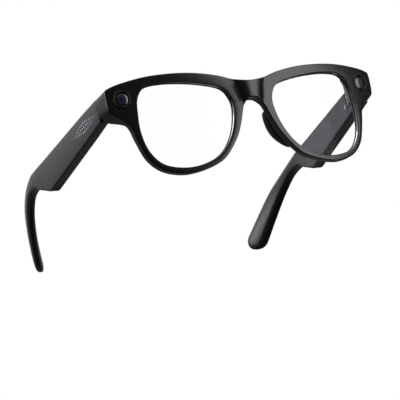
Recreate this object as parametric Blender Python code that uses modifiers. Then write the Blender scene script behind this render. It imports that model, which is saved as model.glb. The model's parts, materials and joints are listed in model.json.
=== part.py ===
"""Camera glasses: a full-rim front, two folding electronic temples and their inner works.

Metres, +Z up.  X runs across the face (the wearer's left is +X), the front looks towards -Y.
The pair stands open on the bottoms of its rims and the ends of its two ear tips.
All sizes below are laid out from the datum: the front face, mid-bridge, at DATUM_W above
the rims' bottoms.  The finished pair is then lifted and centred over the origin.
"""
import math

import bmesh
import bpy
from mathutils import Matrix, Vector

MM = 0.001
SIDES = {"right": -1, "left": 1}          # the wearer's sides

# ---- fits -------------------------------------------------------------------------------
GAP = 0.3 * MM                             # clearance left between neighbouring pieces
SPLIT_GAP = 0.4 * MM                       # between a rim's end block and its temple
OVERCUT = 1.0 * MM                         # how far a cutter runs past what it opens
PAST_ALL = 30.0 * MM                       # a cutter's reach when it must clear a whole block

# ---- front ------------------------------------------------------------------------------
DATUM_W = 40.0 * MM                        # height of the datum, along the front
WRAP_RADIUS = 307.0 * MM                   # face-form curve of the front, seen from above
FRONT_TILT = math.radians(4.7)             # the top of the front leans forward
RIM_DEPTH = 3.8 * MM
RIM_ROUND = 0.5 * MM
SLICE = 8.0 * MM                           # the front is bent in facets this wide
SPLINE_STEPS = 2

# half of the front's outline, from the top of the bridge round to the nose arch: (u, w) in mm
FRONT_OUTLINE = [
    (0.0, 43.0), (8.0, 44.2), (16.5, 46.9), (28.5, 49.2), (41.0, 50.1), (53.5, 49.8),
    (65.5, 48.0), (71.8, 46.2), (73.5, 44.6), (73.8, 39.5), (73.3, 34.6), (71.2, 32.2),
    (67.0, 29.0), (64.4, 25.5), (62.6, 19.0), (59.2, 9.6), (53.5, 3.4), (46.0, 0.5),
    (38.5, 0.0), (29.0, 1.8), (20.5, 5.6), (12.5, 14.8), (8.4, 22.8), (5.4, 30.6),
    (2.6, 33.7), (0.0, 34.2),
]
# the lens opening of the +X rim, anticlockwise from its nose side: (u, w) in mm
LENS_OUTLINE = [
    (11.0, 29.5), (14.0, 18.8), (20.4, 9.6), (29.6, 4.5), (40.7, 2.9), (51.6, 5.6),
    (57.6, 12.6), (60.0, 22.0), (59.8, 31.5), (58.5, 39.4), (54.2, 44.4), (46.0, 45.6),
    (34.9, 44.9), (24.1, 43.1), (15.4, 40.4), (11.8, 35.8),
]
LENS_THICK = 1.8 * MM
LENS_BITE = 0.9 * MM                       # how far the lens edge reaches into its groove

BRIDGE_TOP_HALF = 9.0 * MM                 # where the bridge's bulge meets the rims, at the top
BRIDGE_LOW_HALF = 6.0 * MM                 # and at the nose arch
BRIDGE_LOW_W = 34.0 * MM
BRIDGE_TOP_W = 44.0 * MM
BRIDGE_BULGE = 1.5 * MM                    # how far the bridge stands forward of the rims
BRIDGE_BACK = 5.0 * MM                     # depth of the bridge behind the front face
BULGE_STEPS = 8

# ---- end blocks -------------------------------------------------------------------------
BLOCK_INNER_U = 61.5 * MM                  # inner side of the end block, beside the lens
BLOCK_LOW_W = 31.8 * MM
BLOCK_OUTER_U = 70.0 * MM                  # its outer side starts here
BLOCK_FLARE = 2.4 * MM                     # the outer side widens towards the temple
BLOCK_DROP = 3.2 * MM                      # and the top falls to the temple's
BLOCK_HEIGHT = 15.0 * MM
BLOCK_DEPTH = 12.5 * MM                    # before its back is cut square
BLOCK_INSET = 0.2 * MM
POCKET_WIDTH = 7.8 * MM
POCKET_HEIGHT = 8.4 * MM
POCKET_FLOOR = 3.5 * MM                    # front wall left ahead of the pocket
POCKET_W = 39.8 * MM
RECESS = (62.2 * MM, 71.4 * MM, -4.4 * MM, 6.8 * MM)    # x and z of the cover's recess

# ---- camera and status light ------------------------------------------------------------
EYE_U = 66.4 * MM
EYE_W = 39.8 * MM
BEZEL_RADIUS = 4.4 * MM
BEZEL_BORE = 3.2 * MM
BEZEL_PROUD = 0.5 * MM
BEZEL_SEAT = 1.3 * MM                      # depth of the counterbore that holds the bezel
BEZEL_LIP = 0.5 * MM                       # the lip behind the window
BEZEL_LIP_BORE = 2.7 * MM
WINDOW_SPAN = (-0.35 * MM, 0.2 * MM)
BARREL_RADIUS = 2.4 * MM
BARREL_SPAN = (0.6 * MM, 3.9 * MM)
MODULE_SIZE = 6.4 * MM
MODULE_SPAN = (3.8 * MM, 4.7 * MM)
BOARD_SPAN = (5.0 * MM, 5.5 * MM)
EYE_SEGMENTS = 24

# ---- hinges -----------------------------------------------------------------------------
HINGE_X = 69.2 * MM
BLOCK_BACK = 10.42 * MM                    # from the bent front face at an eye to the joint plane
HINGE_Y = EYE_U ** 2 / (2 * WRAP_RADIUS) + BLOCK_BACK      # the joint plane, on the hinge axis
COVER_FRONT_Y, COVER_BACK_Y = HINGE_Y - 3.4 * MM, HINGE_Y - 2.15 * MM
HINGE_Z = -0.5 * MM
SPLAY = math.radians(3.2)                  # open temples lean outwards
KNUCKLE_RADIUS = 1.8 * MM
KNUCKLE_HEIGHT = 2.3 * MM
KNUCKLE_GAP = 0.35 * MM
PIN_RADIUS = 0.6 * MM
PIN_HEAD_RADIUS = 1.2 * MM
PIN_HEAD = 0.7 * MM
LEAF_THICK = 1.2 * MM
FRONT_LEAF_REACH = 6.6 * MM                # from the axis towards the nose
TEMPLE_LEAF_REACH = 12.0 * MM              # from the axis towards the ear
TEMPLE_LEAF_HEIGHT = 6.0 * MM
SCREW_RADIUS = 0.7 * MM
SCREW_HEAD_RADIUS = 1.1 * MM
SCREW_HEAD = 0.45 * MM
SCREW_LENGTH = 2.2 * MM
BARREL_SEGMENTS = 16

# ---- temples ----------------------------------------------------------------------------
TEMPLE_THICK = 5.8 * MM
TEMPLE_INSET = 0.3 * MM                    # the temple's inner face, outboard of the hinge axis
TEMPLE_WALL = 1.2 * MM
TEMPLE_ROUND = 0.7 * MM
# side outline, from the hinge axis: (distance back, height from the datum) in mm
TEMPLE_TOP = [(62.5, -0.5), (79.5, -1.8), (94.3, -4.9), (108.8, -12.0), (119.6, -21.2)]
TEMPLE_LOW = [(111.9, -28.3), (102.6, -19.1), (93.9, -12.9), (86.4, -10.0), (79.4, -9.3)]
TEMPLE_FRONT_TOP = 5.4
TEMPLE_FRONT_LOW = -6.5
HOUSING_END = (64.0, -17.2)                # lower rear corner of the deep housing
HOUSING_STEP = (76.8, -11.4)               # where the housing steps up to the ear tip
TIP_END_BACK = 124.0                       # distance back of the tip's round end
TIP_END_RADIUS = 5.6
TIP_END_ANGLE = 41.0                       # degrees from level to the end's upper corner
TIP_END_STEPS = 8
TIP_THICK = 5.4 * MM
TIP_START = 76.0 * MM                      # where the tip starts to thin
TIP_THIN_LENGTH = 22.0 * MM
TIP_CURVE_START = 76.0 * MM                # where the tip starts to curve in behind the ear
TIP_CURVE = 6.0                            # inward offset per distance squared, 1/m
TIP_SLICE = 5.0 * MM

CAVITY_FRONT, CAVITY_BACK, CAVITY_WALL = 17.0, 65.5, 1.9
COVER_FRONT, COVER_BACK, COVER_WALL = 13.3, 70.5, 1.0
COVER_SKIN = 1.1 * MM                      # thickness of the inner cover
COVER_SCREWS_AT = (15.2 * MM, 68.2 * MM)
LEAF_SCREWS_AT = (5.0 * MM, 9.4 * MM)
FRONT_SCREWS_AT = (-2.2 * MM, 2.2 * MM)
FRONT_SCREW_X = 4.6 * MM

# ---- works in the temples: place back from the axis, height from the datum, size --------
WORKS_INNER = 1.9 * MM                     # the works' side next to the cover
WORKS_THICK = 2.2 * MM
BATTERY = (41.0, -5.4, 22.0, 7.2)
PCB = (23.8, -3.6, 11.6, 6.6)
PCB_THICK = 0.8 * MM
CHIP = (20.9, -3.6, 4.0, 4.0)
SPEAKER = (59.0, -7.9, 10.0, 7.0)
POWER_SWITCH = (26.5, -3.6, 5.0, 3.2)
POWER_SWITCH_THICK = 1.2 * MM
CAPTURE_SWITCH = (22.5, 0.68, 3.6, 0.85)
MICROPHONE = (26.0, -8.0, 2.4, 1.0)
TOUCH_FILM = (42.0, -5.4, 30.0, 6.4)
TOUCH_FILM_THICK = 0.25 * MM
SOUND_PORT_RADIUS = 0.5 * MM
PORT_SEGMENTS = 12
GRILLE_AT = 58.6
GRILLE_LENGTH, GRILLE_WIDTH, GRILLE_THICK = 8.0 * MM, 1.8 * MM, 0.8 * MM
GRILLE_HOLES, GRILLE_HOLE_RADIUS, GRILLE_HOLE_SEGMENTS = 5, 0.35 * MM, 8
BUTTON_AT, BUTTON_LENGTH, BUTTON_WIDTH = 22.5, 9.0 * MM, 2.4 * MM
BUTTON_FOOT, BUTTON_PROUD, BUTTON_ROUND = 1.6 * MM, 0.7 * MM, 0.5 * MM
SLIDER_AT, SLIDER_Z = 25.5 * MM, -3.6 * MM
SLIDER_LENGTH, SLIDER_WIDTH, SLIDER_TRAVEL, SLIDER_PROUD = 3.0 * MM, 1.8 * MM, 2.0 * MM, 0.2 * MM

# ---- nose pads and charging block -------------------------------------------------------
# the pad's line down the nose side of the +X rim: (u, w) in mm
PAD_LINE = [(8.0, 26.6), (10.3, 21.0), (13.6, 15.2), (18.2, 9.6)]
PAD_WIDTH = 2.6 * MM
PAD_BACK = 9.2 * MM                        # how far back of the front face the pad reaches
PAD_FLARE = 1.0 * MM                       # the pad leans towards the nose at its back
PAD_ROUND = 0.6 * MM
CHARGE_W = 39.2 * MM
CHARGE_SIZE = (13.0 * MM, 1.4 * MM, 4.4 * MM)
CONTACT_RADIUS, CONTACT_SPACING = 0.9 * MM, 5.0 * MM

COLOURS = {
    "acetate": ((0.012, 0.012, 0.014), 0.28, 0.0),
    "tip": ((0.014, 0.014, 0.016), 0.35, 0.0),
    "inner_cover": ((0.030, 0.031, 0.036), 0.45, 0.0),
    "steel": ((0.55, 0.56, 0.58), 0.25, 1.0),
    "dark_steel": ((0.10, 0.10, 0.11), 0.35, 1.0),
    "lens": ((0.85, 0.88, 0.90), 0.03, 0.0),
    "camera_glass": ((0.030, 0.022, 0.060), 0.05, 0.0),
    "smoked_glass": ((0.012, 0.012, 0.013), 0.12, 0.0),
    "board": ((0.02, 0.12, 0.06), 0.5, 0.0),
    "cell": ((0.35, 0.36, 0.38), 0.4, 0.6),
    "black_plastic": ((0.02, 0.02, 0.02), 0.5, 0.0),
    "film": ((0.45, 0.24, 0.05), 0.4, 0.0),
    "gold": ((0.80, 0.58, 0.22), 0.25, 1.0),
}


# ---- collections, materials and placing ---------------------------------------------------
def clear_scene():
    for old in list(bpy.data.objects):
        bpy.data.objects.remove(old, do_unlink=True)


def new_collection(name):
    group = bpy.data.collections.new(name)
    bpy.context.scene.collection.children.link(group)
    return group


def finish_material(name, kind):
    """A Principled material of one of the COLOURS, one for each sub-part."""
    colour, roughness, metallic = COLOURS[kind]
    material = bpy.data.materials.new(name)
    material.use_nodes = True
    shader = material.node_tree.nodes["Principled BSDF"]
    shader.inputs["Base Color"].default_value = (*colour, 1.0)
    shader.inputs["Roughness"].default_value = roughness
    shader.inputs["Metallic"].default_value = metallic
    return material


def add_object(name, mesh, parent, kind=None):
    """A part of the glasses when it has a kind of finish, or else a cutter."""
    item = bpy.data.objects.new(name, mesh)
    item.parent = parent
    if kind:
        PARTS.objects.link(item)
        item.data.materials.clear()
        item.data.materials.append(finish_material(name + "_finish", kind))
        mesh.shade_smooth()
        mesh.set_sharp_from_angle(angle=math.radians(35))
    else:
        CUTTERS.objects.link(item)
        item.hide_render = True
        item.display_type = "WIRE"
    return item


def add_empty(name, parent, location=(0, 0, 0), turn=0.0):
    empty = bpy.data.objects.new(name, None)
    empty.empty_display_size = 5 * MM
    empty.parent = parent
    empty.location = location
    empty.rotation_euler = (0, 0, turn)
    PARTS.objects.link(empty)
    return empty


def apply_modifiers(item):
    """The object's mesh becomes what its modifiers make of it."""
    bpy.context.view_layer.update()
    graph = bpy.context.evaluated_depsgraph_get()
    shaped = bpy.data.meshes.new_from_object(item.evaluated_get(graph))
    item.modifiers.clear()
    item.data = shaped


def combine(item, tool, operation):
    modifier = item.modifiers.new(tool.name, "BOOLEAN")
    modifier.object = tool
    modifier.operation = operation
    modifier.solver = "EXACT"


def cut(item, *tools):
    for tool in tools:
        combine(item, tool, "DIFFERENCE")


def join(item, *tools):
    for tool in tools:
        combine(item, tool, "UNION")


# ---- lines and outlines -------------------------------------------------------------------
def millimetres(points):
    return [tuple(value * MM for value in point) for point in points]


def smooth_line(points, closed=False):
    """A Catmull-Rom line through the points."""
    count = len(points)
    line = []
    for i in range(count if closed else count - 1):
        here, there = points[i], points[(i + 1) % count]
        before = points[i - 1] if closed or i else here
        after = points[(i + 2) % count] if closed or i + 2 < count else there
        for step in range(SPLINE_STEPS):
            t = step / SPLINE_STEPS
            line.append(tuple(
                b + 0.5 * t * (c - a + t * (2 * a - 5 * b + 4 * c - d + t * (3 * (b - c) + d - a)))
                for a, b, c, d in zip(before, here, there, after)))
    if not closed:
        line.append(points[-1])
    return line


def offset_line(points, distance, closed=True):
    """The line moved sideways, to the left of its direction when distance is positive."""
    count = len(points)
    moved = []
    for i, (a, b) in enumerate(points):
        before = points[i - 1] if closed or i else points[i]
        after = points[(i + 1) % count] if closed or i + 1 < count else points[i]
        run = Vector((after[0] - before[0], after[1] - before[1])).normalized()
        moved.append((a - run.y * distance, b + run.x * distance))
    return moved


def band(points, width):
    """The closed outline of a strip along an open line."""
    one = offset_line(points, width / 2, closed=False)
    other = offset_line(points, -width / 2, closed=False)
    return one + other[::-1]


FRONT_PLANE = Matrix.Rotation(math.radians(90), 4, "X")                  # (u, w), depth along -Y
SIDE_PLANE = Matrix(((0, 0, 1, 0), (1, 0, 0, 0), (0, 1, 0, 0), (0, 0, 0, 1)))   # (y, z), along X


def extruded_mesh(name, loops, plane, low, high):
    """A flat outline, its holes included, given thickness from low to high along its normal."""
    curve = bpy.data.curves.new(name, "CURVE")
    curve.dimensions = "2D"
    curve.fill_mode = "BOTH"
    curve.extrude = (high - low) / 2
    for loop in loops:
        spline = curve.splines.new("POLY")
        spline.points.add(len(loop) - 1)
        for point, (a, b) in zip(spline.points, loop):
            point.co = (a, b, 0, 1)
        spline.use_cyclic_u = True
    outline = bpy.data.objects.new(name + "_outline", curve)
    outline.matrix_world = plane @ Matrix.Translation((0, 0, (low + high) / 2))
    CUTTERS.objects.link(outline)
    bpy.context.view_layer.update()
    graph = bpy.context.evaluated_depsgraph_get()
    mesh = bpy.data.meshes.new_from_object(outline.evaluated_get(graph))
    mesh.transform(outline.matrix_world)
    bpy.data.objects.remove(outline)
    edit = bmesh.new()
    edit.from_mesh(mesh)
    bmesh.ops.remove_doubles(edit, verts=edit.verts, dist=0.00001)
    bmesh.ops.dissolve_limit(edit, angle_limit=0.001, verts=edit.verts, edges=edit.edges)
    edit.to_mesh(mesh)
    edit.free()
    return mesh


def front_plate(name, loops, near, far, parent=None, kind=None):
    """A plate of the flat front; near and far are depths behind its face."""
    mesh = extruded_mesh(name, loops, FRONT_PLANE, -far, -near)
    return add_object(name, mesh, parent, kind)


def side_plate(name, loops, low, high, parent, kind=None):
    """A plate seen from the side, between two values of X."""
    mesh = extruded_mesh(name, loops, SIDE_PLANE, min(low, high), max(low, high))
    return add_object(name, mesh, parent, kind)


def box_mesh(name, low, high):
    size = [abs(b - a) for a, b in zip(low, high)]
    centre = [(a + b) / 2 for a, b in zip(low, high)]
    edit = bmesh.new()
    bmesh.ops.create_cube(edit, size=1.0)
    bmesh.ops.scale(edit, vec=size, verts=edit.verts)
    bmesh.ops.translate(edit, vec=centre, verts=edit.verts)
    mesh = bpy.data.meshes.new(name)
    edit.to_mesh(mesh)
    edit.free()
    return mesh


def box(name, low, high, parent, kind=None):
    return add_object(name, box_mesh(name, low, high), parent, kind)


def rod(name, radius, start, stop, parent, kind=None, segments=BARREL_SEGMENTS):
    """A cylinder between two points."""
    start, stop = Vector(start), Vector(stop)
    along = stop - start
    edit = bmesh.new()
    bmesh.ops.create_cone(edit, cap_ends=True, segments=segments, radius1=radius,
                          radius2=radius, depth=along.length)
    turn = along.to_track_quat("Z", "Y").to_matrix().to_4x4()
    bmesh.ops.transform(edit, matrix=Matrix.Translation((start + stop) / 2) @ turn, verts=edit.verts)
    mesh = bpy.data.meshes.new(name)
    edit.to_mesh(mesh)
    edit.free()
    return add_object(name, mesh, parent, kind)


def slice_mesh(mesh, axis, first, last, step):
    """Cuts a mesh's faces into strips across one axis, so that it can be bent."""
    edit = bmesh.new()
    edit.from_mesh(mesh)
    normal = Vector([1.0 if i == axis else 0.0 for i in range(3)])
    for i in range(int((last - first) / step) + 1):
        geometry = edit.verts[:] + edit.edges[:] + edit.faces[:]
        bmesh.ops.bisect_plane(edit, geom=geometry, dist=0.000001,
                               plane_co=normal * (first + i * step), plane_no=normal)
    edit.to_mesh(mesh)
    edit.free()


# ---- from the flat front to the bent and tilted one ----------------------------------------
def wrap_depth(u):
    """How far the bent front lies behind its middle, at u across it."""
    return u * u / (2 * WRAP_RADIUS)


def tilt_matrix():
    return Matrix.Rotation(FRONT_TILT, 4, "X") @ Matrix.Translation((0, 0, -DATUM_W))


def bend(item):
    """Bends a flat piece of the front to the face-form curve, and tilts it."""
    strips = math.ceil(max(abs(vertex.co.x) for vertex in item.data.vertices) / SLICE)
    slice_mesh(item.data, 0, -strips * SLICE, strips * SLICE, SLICE)
    for vertex in item.data.vertices:
        vertex.co.y += wrap_depth(vertex.co.x)
    item.data.transform(tilt_matrix())


def whole_outline():
    half = millimetres(FRONT_OUTLINE)
    points = half + [(-u, w) for u, w in half[-2:0:-1]]
    return smooth_line(points, closed=True)


def lens_loop(side, grow=0.0):
    """The lens opening of one side, grown by a distance all round."""
    loop = offset_line(smooth_line(millimetres(LENS_OUTLINE), closed=True), -grow)
    return [(side * u, w) for u, w in loop]


def floor_height():
    """The rims' lowest point, measured from the datum."""
    tilt = tilt_matrix()
    return min((tilt @ Vector((u, wrap_depth(u), w))).z for u, w in whole_outline())


# ---- the front frame ------------------------------------------------------------------------
def end_block(side, root):
    """The deep block at one end of the front, which holds the electronics and the hinge."""
    outline = offset_line(whole_outline(), -BLOCK_INSET)
    edge = [(u, w) for u, w in outline if u > BLOCK_INNER_U and w > BLOCK_LOW_W]
    loop = [(BLOCK_INNER_U, edge[0][1])] + edge + [(BLOCK_INNER_U, BLOCK_LOW_W)]
    loop = [(side * u, w) for u, w in loop]
    block = front_plate(f"end_block_{side}", [loop], RIM_ROUND + BLOCK_INSET, BLOCK_DEPTH, root)
    for vertex in block.data.vertices:
        back = vertex.co.y / BLOCK_DEPTH
        if side * vertex.co.x > BLOCK_OUTER_U:
            vertex.co.x += side * BLOCK_FLARE * back
        vertex.co.z -= BLOCK_DROP * back * (vertex.co.z - BLOCK_LOW_W) / BLOCK_HEIGHT
    return block


def bridge_bulge(root):
    """The thick bridge: rounded at its front, narrower at the nose arch, inside the outline."""
    arc = []
    for i in range(BULGE_STEPS + 1):
        across = 2 * i / BULGE_STEPS - 1
        depth = BLOCK_INSET - (BRIDGE_BULGE + BLOCK_INSET) * (1 - across * across)
        arc.append((across * BRIDGE_TOP_HALF, depth))
    plan = arc + [(BRIDGE_TOP_HALF, BRIDGE_BACK), (-BRIDGE_TOP_HALF, BRIDGE_BACK)]
    low, high = BRIDGE_LOW_W - OVERCUT, BRIDGE_TOP_W + OVERCUT
    mesh = extruded_mesh("bridge_wedge", [plan], Matrix.Identity(4), low, high)
    for vertex in mesh.vertices:
        if vertex.co.z < DATUM_W:
            vertex.co.x *= BRIDGE_LOW_HALF / BRIDGE_TOP_HALF
    wedge = add_object("bridge_wedge", mesh, root)
    outline = offset_line(whole_outline(), -BLOCK_INSET / 2)
    bridge = front_plate("bridge_bulge", [outline], -3 * BRIDGE_BULGE, 2 * BRIDGE_BACK, root)
    combine(bridge, wedge, "INTERSECT")
    return bridge


def eye_bores(side, root):
    """The stepped bore of a camera or light, and the pocket behind it, in the flat front."""
    centre = side * EYE_U

    def bore(label, radius, near, far):
        return rod(f"{label}_{side}", radius, (centre, near, EYE_W), (centre, far, EYE_W), root,
                   segments=EYE_SEGMENTS)

    half_width, half_height = POCKET_WIDTH / 2, POCKET_HEIGHT / 2
    pocket = box(f"pocket_{side}", (centre - half_width, POCKET_FLOOR, POCKET_W - half_height),
                 (centre + half_width, BLOCK_DEPTH + OVERCUT, POCKET_W + half_height), root)
    return [bore("bezel_seat", BEZEL_RADIUS + GAP, -OVERCUT, BEZEL_SEAT),
            bore("barrel_bore", BARREL_RADIUS + GAP, 0, POCKET_FLOOR + OVERCUT), pocket]


def lens_groove(side, root):
    middle, half = RIM_DEPTH / 2, LENS_THICK / 2 + GAP
    loop = lens_loop(side, LENS_BITE + GAP)
    return front_plate(f"lens_groove_{side}", [loop], middle - half, middle + half, root)


def back_cuts(side, root):
    """Cuts in the finished block: its square back, the cover's recess and the hinge's room."""
    x0, x1, z0, z1 = RECESS
    far = HINGE_Y + PAST_ALL
    middle = side * HINGE_X
    square = box(f"square_back_{side}", (middle - PAST_ALL, HINGE_Y - SPLIT_GAP / 2, -PAST_ALL),
                 (middle + PAST_ALL, far, PAST_ALL), root)
    recess = box(f"cover_recess_{side}", (side * x0, COVER_FRONT_Y - GAP, z0),
                 (side * x1, far, z1), root)
    return [square, recess, hinge_room(f"front_hinge_room_{side}", root, middle, HINGE_Y)]


def hinge_stack():
    """The heights of the knuckle stack's bottom and top."""
    half = 1.5 * KNUCKLE_HEIGHT + KNUCKLE_GAP
    return HINGE_Z - half, HINGE_Z + half


def hinge_room(name, parent, x=0.0, y=0.0):
    low, high = hinge_stack()
    return rod(name, KNUCKLE_RADIUS + GAP + SPLIT_GAP / 2, (x, y, low - SPLIT_GAP),
               (x, y, high + GAP + PIN_HEAD + SPLIT_GAP), parent)


def front_frame(root):
    loops = [whole_outline(), lens_loop(-1), lens_loop(1)]
    frame = front_plate("front_frame", loops, 0, RIM_DEPTH, root, "acetate")
    rounding = frame.modifiers.new("rim_round", "BEVEL")
    rounding.width = RIM_ROUND
    rounding.segments = 1
    rounding.angle_limit = math.radians(50)
    join(frame, bridge_bulge(root), *[end_block(side, root) for side in SIDES.values()])
    for side in SIDES.values():
        cut(frame, lens_groove(side, root), *eye_bores(side, root))
    apply_modifiers(frame)
    bend(frame)
    for side in SIDES.values():
        cut(frame, *back_cuts(side, root))
    return frame


# ---- what the front carries -----------------------------------------------------------------
def lens(name, side, root):
    middle, half = RIM_DEPTH / 2, LENS_THICK / 2
    item = front_plate(name, [lens_loop(side, LENS_BITE)], middle - half, middle + half, root, "lens")
    bend(item)


def eye_disc(name, side, radius, span, root, kind=None):
    centre = side * EYE_U
    return rod(name, radius, (centre, span[0], EYE_W), (centre, span[1], EYE_W), root, kind,
               segments=EYE_SEGMENTS)


def bezel(name, side, root):
    ring = eye_disc(name, side, BEZEL_RADIUS, (-BEZEL_PROUD, BEZEL_SEAT - GAP), root, "dark_steel")
    cut(ring, eye_disc(name + "_bore", side, BEZEL_BORE, (-2 * BEZEL_PROUD, BEZEL_LIP), root),
        eye_disc(name + "_lip_bore", side, BEZEL_LIP_BORE, (0, 2 * BEZEL_SEAT), root))
    apply_modifiers(ring)
    bend(ring)


def window(name, side, root, kind):
    bend(eye_disc(name, side, BEZEL_BORE - GAP, WINDOW_SPAN, root, kind))


def eye_box(name, side, size, span, root, kind=None):
    centre, half = side * EYE_U, size / 2
    return box(name, (centre - half, span[0], EYE_W - half), (centre + half, span[1], EYE_W + half),
               root, kind)


def camera_module(root, side):
    barrel = eye_disc("camera_module", side, BARREL_RADIUS, BARREL_SPAN, root, "black_plastic")
    join(barrel, eye_box("sensor_body", side, MODULE_SIZE, MODULE_SPAN, root))
    apply_modifiers(barrel)
    bend(barrel)


def end_board(name, side, root):
    bend(eye_box(name, side, MODULE_SIZE, BOARD_SPAN, root, "board"))


def end_cover(name, side, root):
    x0, x1, z0, z1 = RECESS
    cover = box(name, (side * (x0 + GAP), COVER_FRONT_Y, z0 + GAP),
                (side * (x1 - GAP), COVER_BACK_Y, z1 - GAP), root, "acetate")
    for i, rise in enumerate(FRONT_SCREWS_AT):
        x, z = side * (HINGE_X - FRONT_SCREW_X), HINGE_Z + rise
        cut(cover, rod(f"{name}_hole_{i}", SCREW_RADIUS + GAP, (x, 0, z), (x, HINGE_Y, z), root))


def nose_pad(name, side, root):
    """A pad behind the nose side of one rim, which leans towards the nose at its back."""
    loop = [(side * u, w) for u, w in band(smooth_line(millimetres(PAD_LINE)), PAD_WIDTH)]
    pad = front_plate(name, [loop], RIM_DEPTH + GAP, PAD_BACK, root, "black_plastic")
    middle = (RIM_DEPTH + PAD_BACK) / 2
    for vertex in pad.data.vertices:
        if vertex.co.y > middle:
            vertex.co.x -= side * PAD_FLARE
    rounding = pad.modifiers.new("pad_round", "BEVEL")
    rounding.width = PAD_ROUND
    rounding.segments = 2
    rounding.angle_limit = math.radians(50)
    apply_modifiers(pad)
    bend(pad)


def charging_block(root):
    """A flat block with two contacts on the back of the bridge."""
    width, depth, height = CHARGE_SIZE
    near = BRIDGE_BACK + GAP
    block = box("charge_block", (-width / 2, near, CHARGE_W - height / 2),
                (width / 2, near + depth, CHARGE_W + height / 2), root, "black_plastic")
    for i, x in enumerate((-CONTACT_SPACING / 2, CONTACT_SPACING / 2)):
        ends = (x, near + GAP, CHARGE_W), (x, near + depth, CHARGE_W)
        contact = rod(f"charge_contact_{i + 1}", CONTACT_RADIUS, *ends, root, "gold")
        contact.data.transform(tilt_matrix())
        hole = rod(f"contact_hole_{i + 1}", CONTACT_RADIUS + GAP, (x, 0, CHARGE_W),
                   (x, near + 2 * depth, CHARGE_W), root)
        hole.data.transform(tilt_matrix())
        cut(block, hole)
    block.data.transform(tilt_matrix())


# ---- hinges and screws ------------------------------------------------------------------------
def screw(name, head, direction, parent):
    """A small screw, its head's outer face at head, its shank running along direction."""
    head, direction = Vector(head), Vector(direction)
    item = rod(name, SCREW_HEAD_RADIUS, head, head + direction * SCREW_HEAD, parent, "steel")
    join(item, rod(name + "_shank", SCREW_RADIUS, head + direction * SCREW_HEAD / 2,
                   head + direction * SCREW_LENGTH, parent))


def screw_hole(item, name, head, direction, parent, sink=True):
    """A screw's hole, and the sink of its head."""
    head, direction = Vector(head), Vector(direction)
    cut(item, rod(name + "_hole", SCREW_RADIUS + GAP, head - direction * OVERCUT,
                  head + direction * (SCREW_LENGTH + GAP), parent))
    if sink:
        cut(item, rod(name + "_sink", SCREW_HEAD_RADIUS + GAP, head - direction * OVERCUT,
                      head + direction * (SCREW_HEAD + GAP / 2), parent))


def knuckle(name, low, high, parent, grow=0.0, kind=None):
    return rod(name, KNUCKLE_RADIUS + grow, (0, 0, low), (0, 0, high), parent, kind)


def pin_bore(name, parent):
    low, high = hinge_stack()
    return rod(name, PIN_RADIUS + GAP, (0, 0, low - OVERCUT), (0, 0, high + OVERCUT), parent)


def front_leaf(label, side, place):
    """The hinge half on the front: two knuckles and a plate screwed over the end cover."""
    name = f"hinge_front_{label}"
    low, high = hinge_stack()
    back = -SPLIT_GAP
    leaf = box(name, (-side * FRONT_LEAF_REACH, back - LEAF_THICK, low),
               (-side * PIN_RADIUS, back, high), place, "steel")
    join(leaf, knuckle(name + "_low", low, low + KNUCKLE_HEIGHT, place),
         knuckle(name + "_high", high - KNUCKLE_HEIGHT, high, place))
    cut(leaf, knuckle(name + "_clear", low + KNUCKLE_HEIGHT, high - KNUCKLE_HEIGHT, place, GAP),
        pin_bore(name + "_bore", place))
    for i, rise in enumerate(FRONT_SCREWS_AT):
        head = (-side * FRONT_SCREW_X, back - GAP / 2, HINGE_Z + rise)
        screw_name = f"front_leaf_screw_{label}_{i + 1}"
        screw_hole(leaf, screw_name, head, (0, -1, 0), place)
        screw(screw_name, head, (0, -1, 0), place)


def temple_leaf(label, side, axis):
    """The hinge half on the temple: the middle knuckle and a plate let into the temple's side."""
    name = f"hinge_temple_{label}"
    low, high = hinge_stack()
    near, far = TEMPLE_INSET + GAP / 3, TEMPLE_INSET + GAP / 3 + LEAF_THICK
    half = TEMPLE_LEAF_HEIGHT / 2
    leaf = box(name, (side * near, PIN_RADIUS, HINGE_Z - half),
               (side * far, TEMPLE_LEAF_REACH, HINGE_Z + half), axis, "steel")
    middle = low + KNUCKLE_HEIGHT + KNUCKLE_GAP
    join(leaf, knuckle(name + "_middle", middle, middle + KNUCKLE_HEIGHT, axis))
    cut(leaf, knuckle(name + "_clear_low", low - OVERCUT, middle, axis, GAP),
        knuckle(name + "_clear_high", middle + KNUCKLE_HEIGHT, high + OVERCUT, axis, GAP),
        pin_bore(name + "_bore", axis))
    for i, back in enumerate(LEAF_SCREWS_AT):
        head = (side * (near + GAP / 3), back, HINGE_Z)
        screw_name = f"temple_leaf_screw_{label}_{i + 1}"
        screw_hole(leaf, screw_name, head, (side, 0, 0), axis)
        screw(screw_name, head, (side, 0, 0), axis)


def hinge_pin(label, place):
    low, high = hinge_stack()
    name = f"hinge_pin_{label}"
    head = high + GAP
    pin = rod(name, PIN_RADIUS, (0, 0, low), (0, 0, head + PIN_HEAD / 2), place, "steel")
    join(pin, rod(name + "_head", PIN_HEAD_RADIUS, (0, 0, head), (0, 0, head + PIN_HEAD), place))


# ---- temples ------------------------------------------------------------------------------------
def top_height(back):
    """Height of the temple's straight top edge, mm."""
    end_back, end_height = TEMPLE_TOP[0]
    return TEMPLE_FRONT_TOP + (end_height - TEMPLE_FRONT_TOP) * back / end_back


def low_height(back):
    """Height of the housing's bottom edge, mm, along its deep part and then its rear chamfer."""
    if back <= HOUSING_END[0]:
        return TEMPLE_FRONT_LOW + (HOUSING_END[1] - TEMPLE_FRONT_LOW) * back / HOUSING_END[0]
    share = (back - HOUSING_END[0]) / (HOUSING_STEP[0] - HOUSING_END[0])
    return HOUSING_END[1] + (HOUSING_STEP[1] - HOUSING_END[1]) * share


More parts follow.
